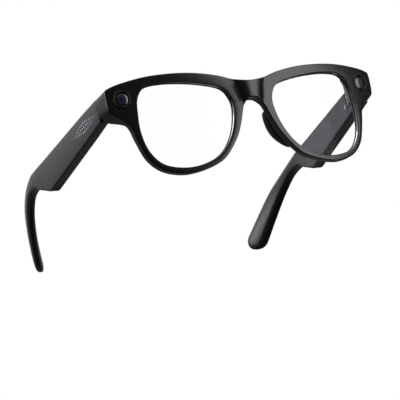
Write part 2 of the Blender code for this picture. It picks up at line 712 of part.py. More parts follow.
def housing_outline(front, back, wall):
    """The housing's side outline between two places, inside its edges by a wall."""
    corner = HOUSING_END[0] - wall / 2
    points = [(front, top_height(front) - wall), (back, top_height(back) - wall),
              (back, low_height(back) + wall), (corner, low_height(corner) + wall),
              (front, low_height(front) + wall)]
    return millimetres(points)


def temple_outline():
    """The whole temple from the side: its straight housing and its hooked ear tip."""
    centre = (TIP_END_BACK, floor_height() / MM + TIP_END_RADIUS)
    end = []
    for i in range(TIP_END_STEPS + 1):
        angle = math.radians(TIP_END_ANGLE - 180 * i / TIP_END_STEPS)
        end.append((centre[0] + TIP_END_RADIUS * math.cos(angle),
                    centre[1] + TIP_END_RADIUS * math.sin(angle)))
    top = smooth_line(TEMPLE_TOP + end[:1])
    low = smooth_line(end[-1:] + TEMPLE_LOW)
    front = SPLIT_GAP / MM / 2
    corners = [HOUSING_STEP, HOUSING_END, (front, low_height(front)), (front, top_height(front))]
    return millimetres(top + end[1:-1] + low + corners)


def shape_tip(item, side):
    """Thins the ear tip and curves it in behind the ear."""
    last = (TIP_END_BACK + TIP_END_RADIUS) * MM
    slice_mesh(item.data, 1, TIP_START, last, TIP_SLICE)
    middle = TEMPLE_INSET + TEMPLE_THICK / 2
    for vertex in item.data.vertices:
        back = vertex.co.y
        share = min(max((back - TIP_START) / TIP_THIN_LENGTH, 0.0), 1.0)
        thin = 1 - share * (1 - TIP_THICK / TEMPLE_THICK)
        off = side * vertex.co.x - middle
        inward = TIP_CURVE * max(back - TIP_CURVE_START, 0.0) ** 2
        vertex.co.x = side * (middle + off * thin - inward)


def temple_shell(label, side, axis):
    """The temple's moulding: outer wall, edges and ear tip, open on its inner side."""
    inner, outer = TEMPLE_INSET, TEMPLE_INSET + TEMPLE_THICK
    shell = side_plate(f"temple_shell_{label}", [temple_outline()], side * inner, side * outer,
                       axis, "tip")
    rounding = shell.modifiers.new("edge_round", "BEVEL")
    rounding.width = TEMPLE_ROUND
    rounding.segments = 1
    rounding.angle_limit = math.radians(60)
    apply_modifiers(shell)
    shape_tip(shell, side)
    seat = inner + COVER_SKIN + GAP
    cavity = side_plate(f"cavity_{label}", [housing_outline(CAVITY_FRONT, CAVITY_BACK, CAVITY_WALL)],
                        side * -OVERCUT, side * (outer - TEMPLE_WALL), axis)
    margin = GAP / MM
    recess = side_plate(f"cover_seat_{label}",
                        [housing_outline(COVER_FRONT - margin, COVER_BACK + margin, COVER_WALL - margin)],
                        side * -OVERCUT, side * seat, axis)
    low, high = HINGE_Z - TEMPLE_LEAF_HEIGHT / 2 - GAP, HINGE_Z + TEMPLE_LEAF_HEIGHT / 2 + GAP
    leaf_seat = box(f"leaf_seat_{label}", (-side * OVERCUT, -OVERCUT, low),
                    (side * (inner + LEAF_THICK + 2 * GAP), TEMPLE_LEAF_REACH + GAP, high), axis)
    cut(shell, cavity, recess, leaf_seat, hinge_room(f"temple_hinge_room_{label}", axis))
    for i, back in enumerate(LEAF_SCREWS_AT):
        head = (side * (inner + 2 * GAP / 3), back, HINGE_Z)
        screw_hole(shell, f"leaf_thread_{label}_{i + 1}", head, (side, 0, 0), axis, sink=False)
    for i, head in enumerate(cover_screw_heads(side)):
        screw_hole(shell, f"cover_thread_{label}_{i + 1}", head, (side, 0, 0), axis, sink=False)
    return shell


def cover_screw_heads(side):
    x = side * (TEMPLE_INSET + GAP / 3)
    return [(x, back, (top_height(back / MM) + low_height(back / MM)) / 2 * MM)
            for back in COVER_SCREWS_AT]


def temple_cover(label, side, axis):
    """The flat inner cover, let into the shell and held by a screw at each end."""
    loop = housing_outline(COVER_FRONT, COVER_BACK, COVER_WALL)
    cover = side_plate(f"temple_cover_{label}", [loop], side * TEMPLE_INSET,
                       side * (TEMPLE_INSET + COVER_SKIN), axis, "inner_cover")
    for i, head in enumerate(cover_screw_heads(side)):
        name = f"cover_screw_{label}_{i + 1}"
        screw_hole(cover, name, head, (side, 0, 0), axis)
        screw(name, head, (side, 0, 0), axis)
    return cover


def work_box(name, side, place, thick, axis, kind=None, inner=WORKS_INNER):
    """A boxy inner part: place is its middle (back, height) and size (length, height), in mm."""
    back, height, length, tall = (value * MM for value in place)
    return box(name, (side * inner, back - length / 2, height - tall / 2),
               (side * (inner + thick), back + length / 2, height + tall / 2), axis, kind)


def board(name, label, side, axis):
    """A circuit board with one chip on its inner face."""
    face = WORKS_INNER + WORKS_THICK - PCB_THICK
    item = work_box(f"{name}_{label}", side, PCB, PCB_THICK, axis, "board", face)
    join(item, work_box(f"{name}_chip_{label}", side, CHIP, PCB_THICK, axis,
                        inner=face - PCB_THICK + BLOCK_INSET))


def speaker_grille(label, side, axis, shell):
    """A perforated plate in the housing's bottom edge, below the speaker."""
    slope = math.atan2(HOUSING_END[1] - TEMPLE_FRONT_LOW, HOUSING_END[0])
    x = side * (TEMPLE_INSET + TEMPLE_THICK / 2)
    place = (Matrix.Translation((x, GRILLE_AT * MM, low_height(GRILLE_AT) * MM))
             @ Matrix.Rotation(slope, 4, "X"))

    def plate(name, grow, low, high, kind=None):
        half_width, half_length = GRILLE_WIDTH / 2 + grow, GRILLE_LENGTH / 2 + grow
        item = box(name, (-half_width, -half_length, low), (half_width, half_length, high), axis, kind)
        item.data.transform(place)
        return item

    lift = TEMPLE_ROUND / 4
    grille = plate(f"speaker_grille_{label}", 0, lift, lift + GRILLE_THICK, "dark_steel")
    cut(shell, plate(f"grille_seat_{label}", GAP, -OVERCUT, lift + GRILLE_THICK + GAP),
        plate(f"sound_slot_{label}", -GAP, -OVERCUT, 2 * CAVITY_WALL * MM))
    for i in range(GRILLE_HOLES):
        y = (i - (GRILLE_HOLES - 1) / 2) * GRILLE_LENGTH / (GRILLE_HOLES + 1)
        hole = rod(f"grille_hole_{label}_{i + 1}", GRILLE_HOLE_RADIUS, (0, y, -OVERCUT),
                   (0, y, 2 * GRILLE_THICK), axis, segments=GRILLE_HOLE_SEGMENTS)
        hole.data.transform(place)
        cut(grille, hole)


def capture_button(side, axis, shell):
    """A push button in the temple's top edge, over its switch."""
    top = top_height(BUTTON_AT) * MM + BUTTON_PROUD
    x = side * (TEMPLE_INSET + TEMPLE_THICK / 2)
    axis_point = add_empty("capture_button_axis", axis, (x, BUTTON_AT * MM, BUTTON_FOOT))
    half_width, half_length = BUTTON_WIDTH / 2, BUTTON_LENGTH / 2
    button = box("capture_button", (-half_width, -half_length, 0),
                 (half_width, half_length, top - BUTTON_FOOT), axis_point, "dark_steel")
    rounding = button.modifiers.new("button_round", "BEVEL")
    rounding.width = BUTTON_ROUND
    rounding.segments = 2
    slot = box("button_slot", (-half_width - GAP, -half_length - GAP, -2 * OVERCUT),
               (half_width + GAP, half_length + GAP, 3 * OVERCUT), axis_point)
    cut(shell, slot)


def power_slider(side, axis, cover):
    """A sliding power switch in the inner cover, over its switch body."""
    place = add_empty("power_slider_axis", axis, (side * TEMPLE_INSET, SLIDER_AT, SLIDER_Z))
    half_length, half_width = SLIDER_LENGTH / 2, SLIDER_WIDTH / 2
    box("power_slider", (-side * SLIDER_PROUD, -half_length, -half_width),
        (side * COVER_SKIN, half_length, half_width), place, "dark_steel")
    slot = box("slider_slot", (-side * OVERCUT, -half_length - GAP, -half_width - GAP),
               (side * 2 * COVER_SKIN, half_length + SLIDER_TRAVEL + GAP, half_width + GAP), place)
    cut(cover, slot)


def temple(label, side, root):
    """One folding temple with its works, hung on its hinge axis."""
    axis = add_empty(f"temple_{label}_axis", root, (side * HINGE_X, HINGE_Y, 0), -side * SPLAY)
    shell = temple_shell(label, side, axis)
    cover = temple_cover(label, side, axis)
    temple_leaf(label, side, axis)
    work_box(f"battery_{label}", side, BATTERY, WORKS_THICK, axis, "cell")
    work_box(f"speaker_{label}", side, SPEAKER, WORKS_THICK, axis, "black_plastic")
    speaker_grille(label, side, axis, shell)
    work_box(f"microphone_{label}", side, MICROPHONE, WORKS_THICK, axis, "steel")
    cut(shell, sound_port(label, side, axis))
    if label == "right":
        board("main_board", label, side, axis)
        work_box("touch_film", side, TOUCH_FILM, TOUCH_FILM_THICK, axis, "film",
                 inner=WORKS_INNER + WORKS_THICK + GAP)
        work_box("capture_switch", side, CAPTURE_SWITCH, WORKS_THICK, axis, "black_plastic")
        work_box("power_switch", side, POWER_SWITCH, POWER_SWITCH_THICK, axis, "black_plastic",
                 inner=TEMPLE_INSET + COVER_SKIN + GAP)
        capture_button(side, axis, shell)
        power_slider(side, axis, cover)
    else:
        board("aux_board", label, side, axis)


def sound_port(label, side, axis):
    """The hole through the housing's bottom edge below the microphone."""
    back, height = MICROPHONE[0] * MM, MICROPHONE[1] * MM
    x = side * (WORKS_INNER + WORKS_THICK / 2)
    return rod(f"sound_port_{label}", SOUND_PORT_RADIUS, (x, back, height - PAST_ALL / 4),
               (x, back, height), axis, segments=PORT_SEGMENTS)


# ---- the whole pair ------------------------------------------------------------------------------
def front(root):
    front_frame(root)
    for label, side in SIDES.items():
        lens(f"lens_{label}", side, root)
        end_cover(f"end_cover_{label}", side, root)
        nose_pad(f"nose_pad_{label}", side, root)
        place = add_empty(f"hinge_{label}_place", root, (side * HINGE_X, HINGE_Y, 0))
        front_leaf(label, side, place)
        hinge_pin(label, place)
    camera, light = SIDES["right"], SIDES["left"]
    bezel("camera_bezel", camera, root)
    window("camera_glass", camera, root, "camera_glass")
    camera_module(root, camera)
    end_board("camera_board", camera, root)
    bezel("light_bezel", light, root)
    window("light_window", light, root, "smoked_glass")
    end_board("light_board", light, root)
    charging_block(root)


def stand_on_floor(root):
    """Lifts the pair onto the floor and centres its box over the origin."""
    bpy.context.view_layer.update()
    graph = bpy.context.evaluated_depsgraph_get()
    corners = []
    for item in PARTS.objects:
        if item.type == "MESH":
            shaped = item.evaluated_get(graph).to_mesh()
            corners += [item.matrix_world @ vertex.co for vertex in shaped.vertices]
    lows = [min(corner[i] for corner in corners) for i in range(3)]
    highs = [max(corner[i] for corner in corners) for i in range(3)]
    root.location = (-(lows[0] + highs[0]) / 2, -(lows[1] + highs[1]) / 2, -lows[2])
    bpy.context.view_layer.update()


clear_scene()
PARTS = new_collection("camera_glasses")
CUTTERS = new_collection("cutters")
glasses = add_empty("glasses_origin", None)
front(glasses)
for temple_label, temple_side in SIDES.items():
    temple(temple_label, temple_side, glasses)
stand_on_floor(glasses)
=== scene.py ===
import json
import math

import bmesh
import bpy
from mathutils import Matrix, Vector


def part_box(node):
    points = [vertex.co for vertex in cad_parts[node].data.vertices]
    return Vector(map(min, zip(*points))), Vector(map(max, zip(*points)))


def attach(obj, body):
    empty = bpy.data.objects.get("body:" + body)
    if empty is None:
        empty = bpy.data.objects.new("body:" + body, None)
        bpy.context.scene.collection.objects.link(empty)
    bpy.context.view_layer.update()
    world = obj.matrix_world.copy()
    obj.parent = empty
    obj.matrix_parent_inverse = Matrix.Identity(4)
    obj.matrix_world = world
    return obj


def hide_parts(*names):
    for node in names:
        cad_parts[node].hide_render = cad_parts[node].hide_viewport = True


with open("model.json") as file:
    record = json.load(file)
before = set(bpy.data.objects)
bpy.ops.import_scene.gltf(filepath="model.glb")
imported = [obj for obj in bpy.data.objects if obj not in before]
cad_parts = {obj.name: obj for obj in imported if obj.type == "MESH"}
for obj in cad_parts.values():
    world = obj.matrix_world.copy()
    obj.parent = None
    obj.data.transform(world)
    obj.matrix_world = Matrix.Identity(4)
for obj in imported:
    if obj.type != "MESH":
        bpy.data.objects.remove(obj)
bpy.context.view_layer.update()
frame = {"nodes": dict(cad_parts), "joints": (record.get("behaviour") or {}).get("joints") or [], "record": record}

# ---- Studio -------------------------------------------------------------------------------
# A white sweep, a camera low and to the wearer's right, a tall soft box in front and a strip at
# the side.  The black plastic mirrors the boxes, the lit wall behind it and the dark room.
CAMERA_PLACE = Vector((-0.58958, -1.06447, -0.34305))
CAMERA_RIGHT = Vector((0.88186, -0.41006, -0.23276))
CAMERA_DOWN = Vector((-0.08198, 0.35280, -0.93210))
FOCAL_LENGTH, SENSOR = 225.1, 36.0
FLOOR_DROP = 0.62
SWEEP_SIZE = 12.0
ROOM_DARK, ROOM_REAR, WALL_LIGHT = 0.015, 0.18, 1.15
MM = 0.001


def deselect():
    bpy.ops.object.select_all(action="DESELECT")


def add_material(name):
    """A new material, with its nodes and its links."""
    material = bpy.data.materials.new(name)
    material.use_nodes = True
    return material, material.node_tree.nodes, material.node_tree.links


camera = bpy.data.objects.new("camera", bpy.data.cameras.new("camera"))
bpy.context.scene.collection.objects.link(camera)
camera.data.lens, camera.data.sensor_width = FOCAL_LENGTH, SENSOR
camera.data.clip_start, camera.data.clip_end = 0.05, 40.0
across = CAMERA_RIGHT.normalized()
back = across.cross(-CAMERA_DOWN).normalized()
upright = back.cross(across)
camera_turn = Matrix((across, upright, back)).transposed().to_4x4()
camera.matrix_world = Matrix.Translation(CAMERA_PLACE) @ camera_turn
bpy.context.scene.camera = camera
bpy.context.scene.view_settings.view_transform = "Standard"

world = bpy.data.worlds.new("studio_room")
bpy.context.scene.world = world
world.use_nodes = True
air, wires = world.node_tree.nodes, world.node_tree.links
seen = air.new("ShaderNodeLightPath")
heading = air.new("ShaderNodeTexCoord")
height = air.new("ShaderNodeSeparateXYZ")
wires.new(heading.outputs["Generated"], height.inputs[0])


def faded(part, start, stop, low, high):
    """A value that eases from low to high as one part of the heading goes from start to stop."""
    fade = air.new("ShaderNodeMapRange")
    fade.interpolation_type = "SMOOTHSTEP"
    fade.inputs["From Min"].default_value, fade.inputs["From Max"].default_value = start, stop
    fade.inputs["To Min"].default_value, fade.inputs["To Max"].default_value = low, high
    wires.new(height.outputs[part], fade.inputs["Value"])
    return fade.outputs["Result"]


wall = air.new("ShaderNodeMath")
wall.operation = "MULTIPLY"
wires.new(faded("Y", -0.1, 0.55, 0.0, WALL_LIGHT), wall.inputs[0])
wires.new(faded("Z", -0.05, 0.6, 0.0, 1.0), wall.inputs[1])
lit = air.new("ShaderNodeMath")
lit.operation = "ADD"
wires.new(wall.outputs[0], lit.inputs[0])
low = air.new("ShaderNodeMath")
low.operation = "ADD"
wires.new(faded("Z", 0.3, 1.0, 0.0, 0.5), low.inputs[0])
wires.new(faded("Y", -0.2, 0.7, ROOM_DARK, ROOM_REAR), low.inputs[1])
wires.new(low.outputs[0], lit.inputs[1])
room = air["Background"]
room.inputs["Color"].default_value = (0.93, 0.96, 1.0, 1.0)
wires.new(lit.outputs[0], room.inputs["Strength"])
white = air.new("ShaderNodeBackground")
white.inputs["Color"].default_value = (1.0, 1.0, 1.0, 1.0)
either = air.new("ShaderNodeMixShader")
wires.new(seen.outputs["Is Camera Ray"], either.inputs["Fac"])
wires.new(room.outputs[0], either.inputs[1])
wires.new(white.outputs[0], either.inputs[2])
wires.new(either.outputs[0], air["World Output"].inputs["Surface"])

deselect()
bpy.ops.mesh.primitive_plane_add(size=SWEEP_SIZE, location=(0, 0, -FLOOR_DROP))
floor = bpy.context.object
floor.name = "floor"
paper, nodes, links = add_material("pale_paper")
nodes["Principled BSDF"].inputs["Base Color"].default_value = (0.9, 0.9, 0.9, 1.0)
nodes["Principled BSDF"].inputs["Roughness"].default_value = 1.0
nodes["Principled BSDF"].inputs["Emission Color"].default_value = (1.0, 1.0, 1.0, 1.0)
nodes["Principled BSDF"].inputs["Emission Strength"].default_value = 0.8
floor.data.materials.append(paper)
floor.visible_glossy = floor.visible_diffuse = False


def soft_box(name, place, size, power, aim=(0, 0, 0.02)):
    lamp = bpy.data.lights.new(name, "AREA")
    lamp.shape, lamp.size, lamp.size_y, lamp.energy = "RECTANGLE", size[0], size[1], power
    item = bpy.data.objects.new(name, lamp)
    item.location = place
    item.rotation_euler = (Vector(aim) - Vector(place)).to_track_quat("-Z", "Y").to_euler()
    bpy.context.scene.collection.objects.link(item)
    item.visible_camera = False
    return item


soft_box("front_box", (0.69, -1.02, 0.20), (0.56, 1.2), 7.0)
soft_box("side_box", (-1.5, 0.35, 0.55), (0.45, 0.6), 7.0)
soft_box("top_box", (0.1, 0.1, 1.4), (1.2, 1.2), 12.0)

# ---- Front frame ----------------------------------------------------------------------------
# One moulding of black polished nylon: two full rims, a thick bridge and a deep block at each
# end for the electronics.  It is curved to the face and its top leans a little forward.
charge_mount = next(m for m in frame["record"]["mounts"] if m["name"] == "charging_face")
charge_axis = Vector(charge_mount["axis"])
FRONT_TILT = math.atan2(charge_axis.z, charge_axis.y)
WRAP_RADIUS = 307.0
DATUM_W = 40.0
CHARGE_FACE_DEPTH, CHARGE_W = 6.7, 39.2
tilt = Matrix.Rotation(FRONT_TILT, 4, "X")
charge_offset = tilt @ Vector((0, CHARGE_FACE_DEPTH, CHARGE_W - DATUM_W)) * MM
front_place = Matrix.Translation(Vector(charge_mount["pos_m"]) - charge_offset) @ tilt
hinge = {j["child"]: Vector(j["pos_m"]) for j in frame["joints"] if j["type"] == "hinge"}
JOINT_GAP = 0.2
SPLIT_Y = (hinge["temple_left"].y - front_place.translation.y) / MM - JOINT_GAP

# half of the front's outline, then the wearer's left lens opening: (across, up) in mm
RIM_OUTLINE = [
    (0.0, 43.0), (8.0, 44.2), (16.5, 46.9), (28.5, 49.2), (41.0, 50.1), (53.5, 49.8),
    (65.5, 48.0), (71.8, 46.2), (73.5, 44.6), (73.8, 39.5), (73.3, 34.6), (71.2, 32.2),
    (67.0, 29.0), (64.4, 25.5), (62.6, 19.0), (59.2, 9.6), (53.5, 3.4), (46.0, 0.5),
    (38.5, 0.0), (29.0, 1.8), (20.5, 5.6), (12.5, 14.8), (8.4, 22.8), (5.4, 30.6),
    (2.6, 33.7), (0.0, 34.2),
]
LENS_OUTLINE = [
    (11.0, 29.5), (14.0, 18.8), (20.4, 9.6), (29.6, 4.5), (40.7, 2.9), (51.6, 5.6),
    (57.6, 12.6), (60.0, 22.0), (59.8, 31.5), (58.5, 39.4), (54.2, 44.4), (46.0, 45.6),
    (34.9, 44.9), (24.1, 43.1), (15.4, 40.4), (11.8, 35.8),
]
RIM_DEPTH, BRIDGE_DEPTH, BRIDGE_BULGE = 3.8, 5.0, 1.5
LENS_CENTRE = Vector((36.0, 30.0))
BLOCK_LOW_W, BLOCK_INNER_U = 31.8, 61.6
EYE_U, EYE_W, EYE_SEAT = 66.4, 39.8, 4.55
EDGE_ROUND, LIP = 0.6, 0.4
# (distance from the opening or the outline, depth) in mm
OPENING_PROFILE = [(0.1, RIM_DEPTH - 0.1), (0.0, RIM_DEPTH - 0.35), (0.0, 2.95), (0.35, 2.9), (0.35, 0.9),
                   (0.0, 0.85), (0.0, 0.45), (0.06, 0.22), (0.2, 0.07), (LIP, 0.0)]
EDGE_PROFILE = [(EDGE_ROUND, 0.0), (0.36, 0.05), (0.17, 0.17), (0.05, 0.36), (0.0, EDGE_ROUND)]
STEPS = 6
SHARP = math.radians(38)


def smooth_line(points, steps, closed=False):
    """A rounded line through the points."""
    line = []
    count = len(points)
    for i in range(count if closed else count - 1):
        here, there = points[i], points[(i + 1) % count]
        before = points[i - 1] if closed or i else here
        after = points[(i + 2) % count] if closed or i + 2 < count else there
        for step in range(steps):
            t = step / steps
            line.append(tuple(
                b + 0.5 * t * (c - a + t * (2 * a - 5 * b + 4 * c - d + t * (3 * (b - c) + d - a)))
                for a, b, c, d in zip(before, here, there, after)))
    return line if closed else line + [points[-1]]


def offset_line(points, distance):
    """A closed line moved to the left of its direction."""
    moved = []
    for i, (a, b) in enumerate(points):
        before, after = points[i - 1], points[(i + 1) % len(points)]
        run = Vector((after[0] - before[0], after[1] - before[1])).normalized()
        moved.append((a - run.y * distance, b + run.x * distance))
    return moved


def ease(value, low, high):
    t = min(max((value - low) / (high - low), 0.0), 1.0)
    return t * t * (3 - 2 * t)


def on_front(u, y, w):
    """A place on the flat front, in mm, moved to the curved and leaning one, in metres."""
    depth = y + u * u / (2 * WRAP_RADIUS)
    return front_place @ (Vector((u, depth, w - DATUM_W)) * MM)


def pull_rings(name, rings, ring_closed=False):
    """A circle of points is set in place and pulled ring by ring into a closed shell."""
    deselect()
    bpy.ops.mesh.primitive_circle_add(vertices=len(rings[0]), fill_type="NOTHING", location=(0, 0, 0))
    piece = bpy.context.object
    piece.name = name
    bpy.ops.object.mode_set(mode="EDIT")
    order = bmesh.from_edit_mesh(piece.data).verts.layers.int.new("order")
    for i, vertex in enumerate(bmesh.from_edit_mesh(piece.data).verts):
        vertex[order] = i
    for step, ring in enumerate(rings):
        if step:
            bpy.ops.mesh.extrude_edges_move()
        edit = bmesh.from_edit_mesh(piece.data)
        order = edit.verts.layers.int["order"]
        for vertex in edit.verts:
            if vertex.select:
                vertex.co = ring[vertex[order]]
        bmesh.update_edit_mesh(piece.data)
    bpy.ops.mesh.select_all(action="DESELECT")
    bpy.ops.mesh.select_mode(type="EDGE")
    bpy.ops.mesh.select_non_manifold(extend=False, use_wire=False, use_multi_face=False,
                                     use_non_contiguous=False, use_verts=False)
    if ring_closed:
        bpy.ops.mesh.bridge_edge_loops()
    else:
        bpy.ops.mesh.fill_holes(sides=0)
    bpy.ops.mesh.select_all(action="SELECT")
    bpy.ops.mesh.normals_make_consistent(inside=False)
    bpy.ops.object.mode_set(mode="OBJECT")
    return piece


def use_modifier(piece, kind, **settings):
    """Adds a modifier with these settings and applies it."""
    deselect()
    piece.select_set(True)
    bpy.context.view_layer.objects.active = piece
    modifier = piece.modifiers.new(kind.lower(), kind)
    for key, value in settings.items():
        setattr(modifier, key, value)
    bpy.ops.object.modifier_apply(modifier=modifier.name)


def cut(piece, *tools):
    for tool in tools:
        use_modifier(piece, "BOOLEAN", object=tool, operation="DIFFERENCE", solver="EXACT")
        bpy.data.objects.remove(tool)


def join(piece, *tools):
    for tool in tools:
        use_modifier(piece, "BOOLEAN", object=tool, operation="UNION", solver="EXACT")
        bpy.data.objects.remove(tool)


def settle(piece, matrix=None):
    """Puts the piece's place in its mesh, then smooths its shading and keeps flat faces flat."""
    deselect()
    piece.select_set(True)
    bpy.context.view_layer.objects.active = piece
    if matrix is not None:
        piece.matrix_world = matrix @ piece.matrix_world
    bpy.ops.object.transform_apply(location=True, rotation=True, scale=True)
    bpy.ops.object.shade_smooth_by_angle(angle=SHARP, keep_sharp_edges=True)
    use_modifier(piece, "WEIGHTED_NORMAL", keep_sharp=True)
    return piece


def finish(piece, material, body, nodes):
    """The piece's finish, the body it moves with and the plain solids it stands for."""
    piece.data.materials.clear()
    piece.data.materials.append(material)
    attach(piece, body)
    if nodes:
        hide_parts(*nodes)


def moulded(name, colour, shade, rough, grain, bump=0.0, metallic=0.0, coat=0.0, stretch=(1, 1, 1)):
    """A finish with two close colours, an uneven gloss and a fine surface, all from noise."""
    material, nodes, links = add_material(name)
    shader = nodes["Principled BSDF"]
    shader.inputs["Metallic"].default_value = metallic
    shader.inputs["Coat Weight"].default_value = coat
    shader.inputs["Coat Roughness"].default_value = 0.08
    place = nodes.new("ShaderNodeTexCoord")
    turn = nodes.new("ShaderNodeMapping")
    turn.inputs["Scale"].default_value = stretch
    noise = nodes.new("ShaderNodeTexNoise")
    noise.inputs["Scale"].default_value = grain
    noise.inputs["Detail"].default_value = 4.0
    cloud = nodes.new("ShaderNodeTexNoise")
    cloud.inputs["Scale"].default_value = grain / 25
    ramp = nodes.new("ShaderNodeValToRGB")
    ramp.color_ramp.elements[0].position, ramp.color_ramp.elements[1].position = 0.35, 0.65
    ramp.color_ramp.elements[0].color = (*colour, 1.0)
    ramp.color_ramp.elements[1].color = (*shade, 1.0)
    spread = nodes.new("ShaderNodeMapRange")
    spread.inputs["From Min"].default_value, spread.inputs["From Max"].default_value = 0.3, 0.7
    spread.inputs["To Min"].default_value, spread.inputs["To Max"].default_value = rough
    links.new(place.outputs["Object"], turn.inputs["Vector"])
    links.new(turn.outputs["Vector"], noise.inputs["Vector"])
    links.new(turn.outputs["Vector"], cloud.inputs["Vector"])
    links.new(cloud.outputs["Fac"], ramp.inputs["Fac"])
    links.new(ramp.outputs["Color"], shader.inputs["Base Color"])
    links.new(noise.outputs["Fac"], spread.inputs["Value"])
    links.new(spread.outputs["Result"], shader.inputs["Roughness"])
    if bump:
        relief = nodes.new("ShaderNodeBump")
        relief.inputs["Strength"].default_value = bump
        relief.inputs["Distance"].default_value = 0.05 * MM
        links.new(noise.outputs["Fac"], relief.inputs["Height"])
        links.new(relief.outputs["Normal"], shader.inputs["Normal"])
    return material


def rounded_box(name, low, high, radius):
    """A block with rounded edges, in mm."""
    deselect()
    centre = (Vector(low) + Vector(high)) / 2
    bpy.ops.mesh.primitive_cube_add(size=1.0, location=centre * MM)
    item = bpy.context.object
    item.name = name
    item.scale = [abs(b - a) * MM for a, b in zip(low, high)]
    bpy.ops.object.transform_apply(location=True, rotation=True, scale=True)
    if radius:
        use_modifier(item, "BEVEL", width=radius * MM, segments=3, limit_method="NONE")
    return item


def turned(name, profile, start, along, sides=32):
    """A turned piece: profile is (radius, place along the axis) in mm, from end to end."""
    turn = Vector(along).to_track_quat("Z", "Y").to_matrix().to_4x4()
    place = Matrix.Translation(Vector(start) * MM) @ turn
    rings = []
    for radius, reach in profile:
        ring = []
        for i in range(sides):
            angle = 2 * math.pi * i / sides
            point = Vector((radius * math.cos(angle), radius * math.sin(angle), reach))
            ring.append(place @ (point * MM))
        rings.append(ring)
    return pull_rings(name, rings)


def bridge_half(w):
    """Half the width of the bridge's bulge at a height."""
    return 6.0 + 0.25 * (w - 33.0)


def bulge(u, w):
    return max(0.0, 1.0 - (u / bridge_half(w)) ** 2)


whole_outline = smooth_line(RIM_OUTLINE + [(-u, w) for u, w in RIM_OUTLINE[-2:0:-1]], STEPS, True)
half_count = (len(RIM_OUTLINE) - 1) * STEPS + 1
lens_lines, rim_lines = {}, {}


def lens_point(angle, grow):
    """Where a line from the lens centre at an angle meets the lens opening grown by a distance."""
    if grow not in lens_lines:
        lens_lines[grow] = offset_line(smooth_line(LENS_OUTLINE, 12, True), -grow)
    line = lens_lines[grow]
    heading = Vector((math.cos(angle), math.sin(angle)))
    for i, end in enumerate(line):
        a, b = Vector(line[i - 1]) - LENS_CENTRE, Vector(end) - LENS_CENTRE
        side_a, side_b = heading.cross(a), heading.cross(b)
        if side_a * side_b <= 0 and side_a != side_b:
            hit = a + (b - a) * (side_a / (side_a - side_b))
            if hit.dot(heading) > 0:
                return LENS_CENTRE + hit
    raise ValueError("the lens outline has a gap")


BRIDGE_STATIONS = 10
stations = []                              # (outline index or None, share of the centre line)
for index in range(half_count):
    stations.append((index, 0.0))
for index in range(1, BRIDGE_STATIONS):
    stations.append((None, index / BRIDGE_STATIONS))


def rim_point(station, inset):
    """A place on the outline, moved inwards by an inset; beyond the arch it runs up the middle."""
    index, share = station
    if inset not in rim_lines:
        rim_lines[inset] = offset_line(whole_outline, -inset)
    line = rim_lines[inset]
    if index is None:
        low, high = line[half_count - 1][1], line[0][1]
        return Vector((0.0, low + (high - low) * share))
    u, w = line[index]
    return Vector((0.0 if index in (0, half_count - 1) else u, w))


def block_share(u, w):
    """0 on the slim rim and 1 on the deep end block."""
    return ease(w, 27.0, BLOCK_LOW_W) * ease(u, 59.5, 63.0)


def back_depth(u, w):
    """Depth of the front's back face there: the rim's, the bridge's or the end block's."""
    rim = RIM_DEPTH + (BRIDGE_DEPTH - RIM_DEPTH) * bulge(u, w)
    split = (SPLIT_Y + (w - DATUM_W) * math.sin(FRONT_TILT)) / math.cos(FRONT_TILT)
    block = split - u * u / (2 * WRAP_RADIUS)
    share = block_share(u, w)
    return rim + (block - rim) * share


def flared(point, y):
    """The end block widens and drops towards the temple."""
    u, w = point
    share = block_share(u, w) * y / 12.5
    return u + 2.4 * ease(u, 66.0, 70.0) * share, w - 3.2 * share * max(w - BLOCK_LOW_W, 0.0) / 15.0


def face_share(station, angle):
    """How far from the lens to the outline the bridge's edge line runs."""
    outer, inner = rim_point(station, EDGE_ROUND), lens_point(angle, LIP)
    if outer.x >= bridge_half(outer.y):
        return 0.75
    low, high = 0.0, 1.0
    for _ in range(24):
        middle = (low + high) / 2
        place = inner + (outer - inner) * middle
        low, high = (middle, high) if place.x > bridge_half(place.y) else (low, middle)
    return low


columns = []
for station in stations:
    rim = rim_point(station, 0.0)
    angle = math.atan2(rim.y - LENS_CENTRE.y, rim.x - LENS_CENTRE.x)
    column = []
    for grow, depth in OPENING_PROFILE:
        place = lens_point(angle, grow)
        column.append((place.x, depth, place.y))
    share = face_share(station, angle)
    inner, outer = lens_point(angle, LIP), rim_point(station, EDGE_ROUND)
    for part in (0.5 * share, share, *(share + (1 - share) * k / 5 for k in (1, 2, 3, 4))):
        place = inner + (outer - inner) * part
        crown = 0.05 * math.sin(math.pi * part)
        column.append((place.x, -BRIDGE_BULGE * bulge(*place) - crown, place.y))
    for inset, depth in EDGE_PROFILE:
        place = rim_point(station, inset)
        column.append((place.x, depth - BRIDGE_BULGE * bulge(*place), place.y))
    far = back_depth(*rim)
    for part in (0.35, 0.7):
        u, w = flared(rim, far * part)
        column.append((u, far * part, w))
    for inset, depth in [(0.0, far - 0.35), (0.1, far - 0.1), (0.35, far)]:
        u, w = flared(rim_point(station, inset), far)
        column.append((u, depth, w))
    start = Vector((column[-1][0], column[-1][2]))
    foot = lens_point(angle, LIP)
    amount = block_share(*rim)
    split = (start.x - BLOCK_INNER_U) / max(start.x - foot.x, 0.001)
    split = amount * min(max(split, 0.1), 0.95) + (1 - amount) * 0.5
    for part, depth in [(split - 0.06, far), (split, far - 0.4 * amount),
                        (min(split + 0.04, 0.97), RIM_DEPTH + 0.3 * amount)]:
        place = start + (foot - start) * part
        column.append((place.x, depth, place.y))
    column.append((foot.x, RIM_DEPTH, foot.y))
    columns.append(column)
front = pull_rings("front_frame_shell", list(zip(*columns)), ring_closed=True)
edit = bmesh.new()
edit.from_mesh(front.data)
middle_faces = [f for f in edit.faces if all(abs(v.co.x) < 1e-6 for v in f.verts)]
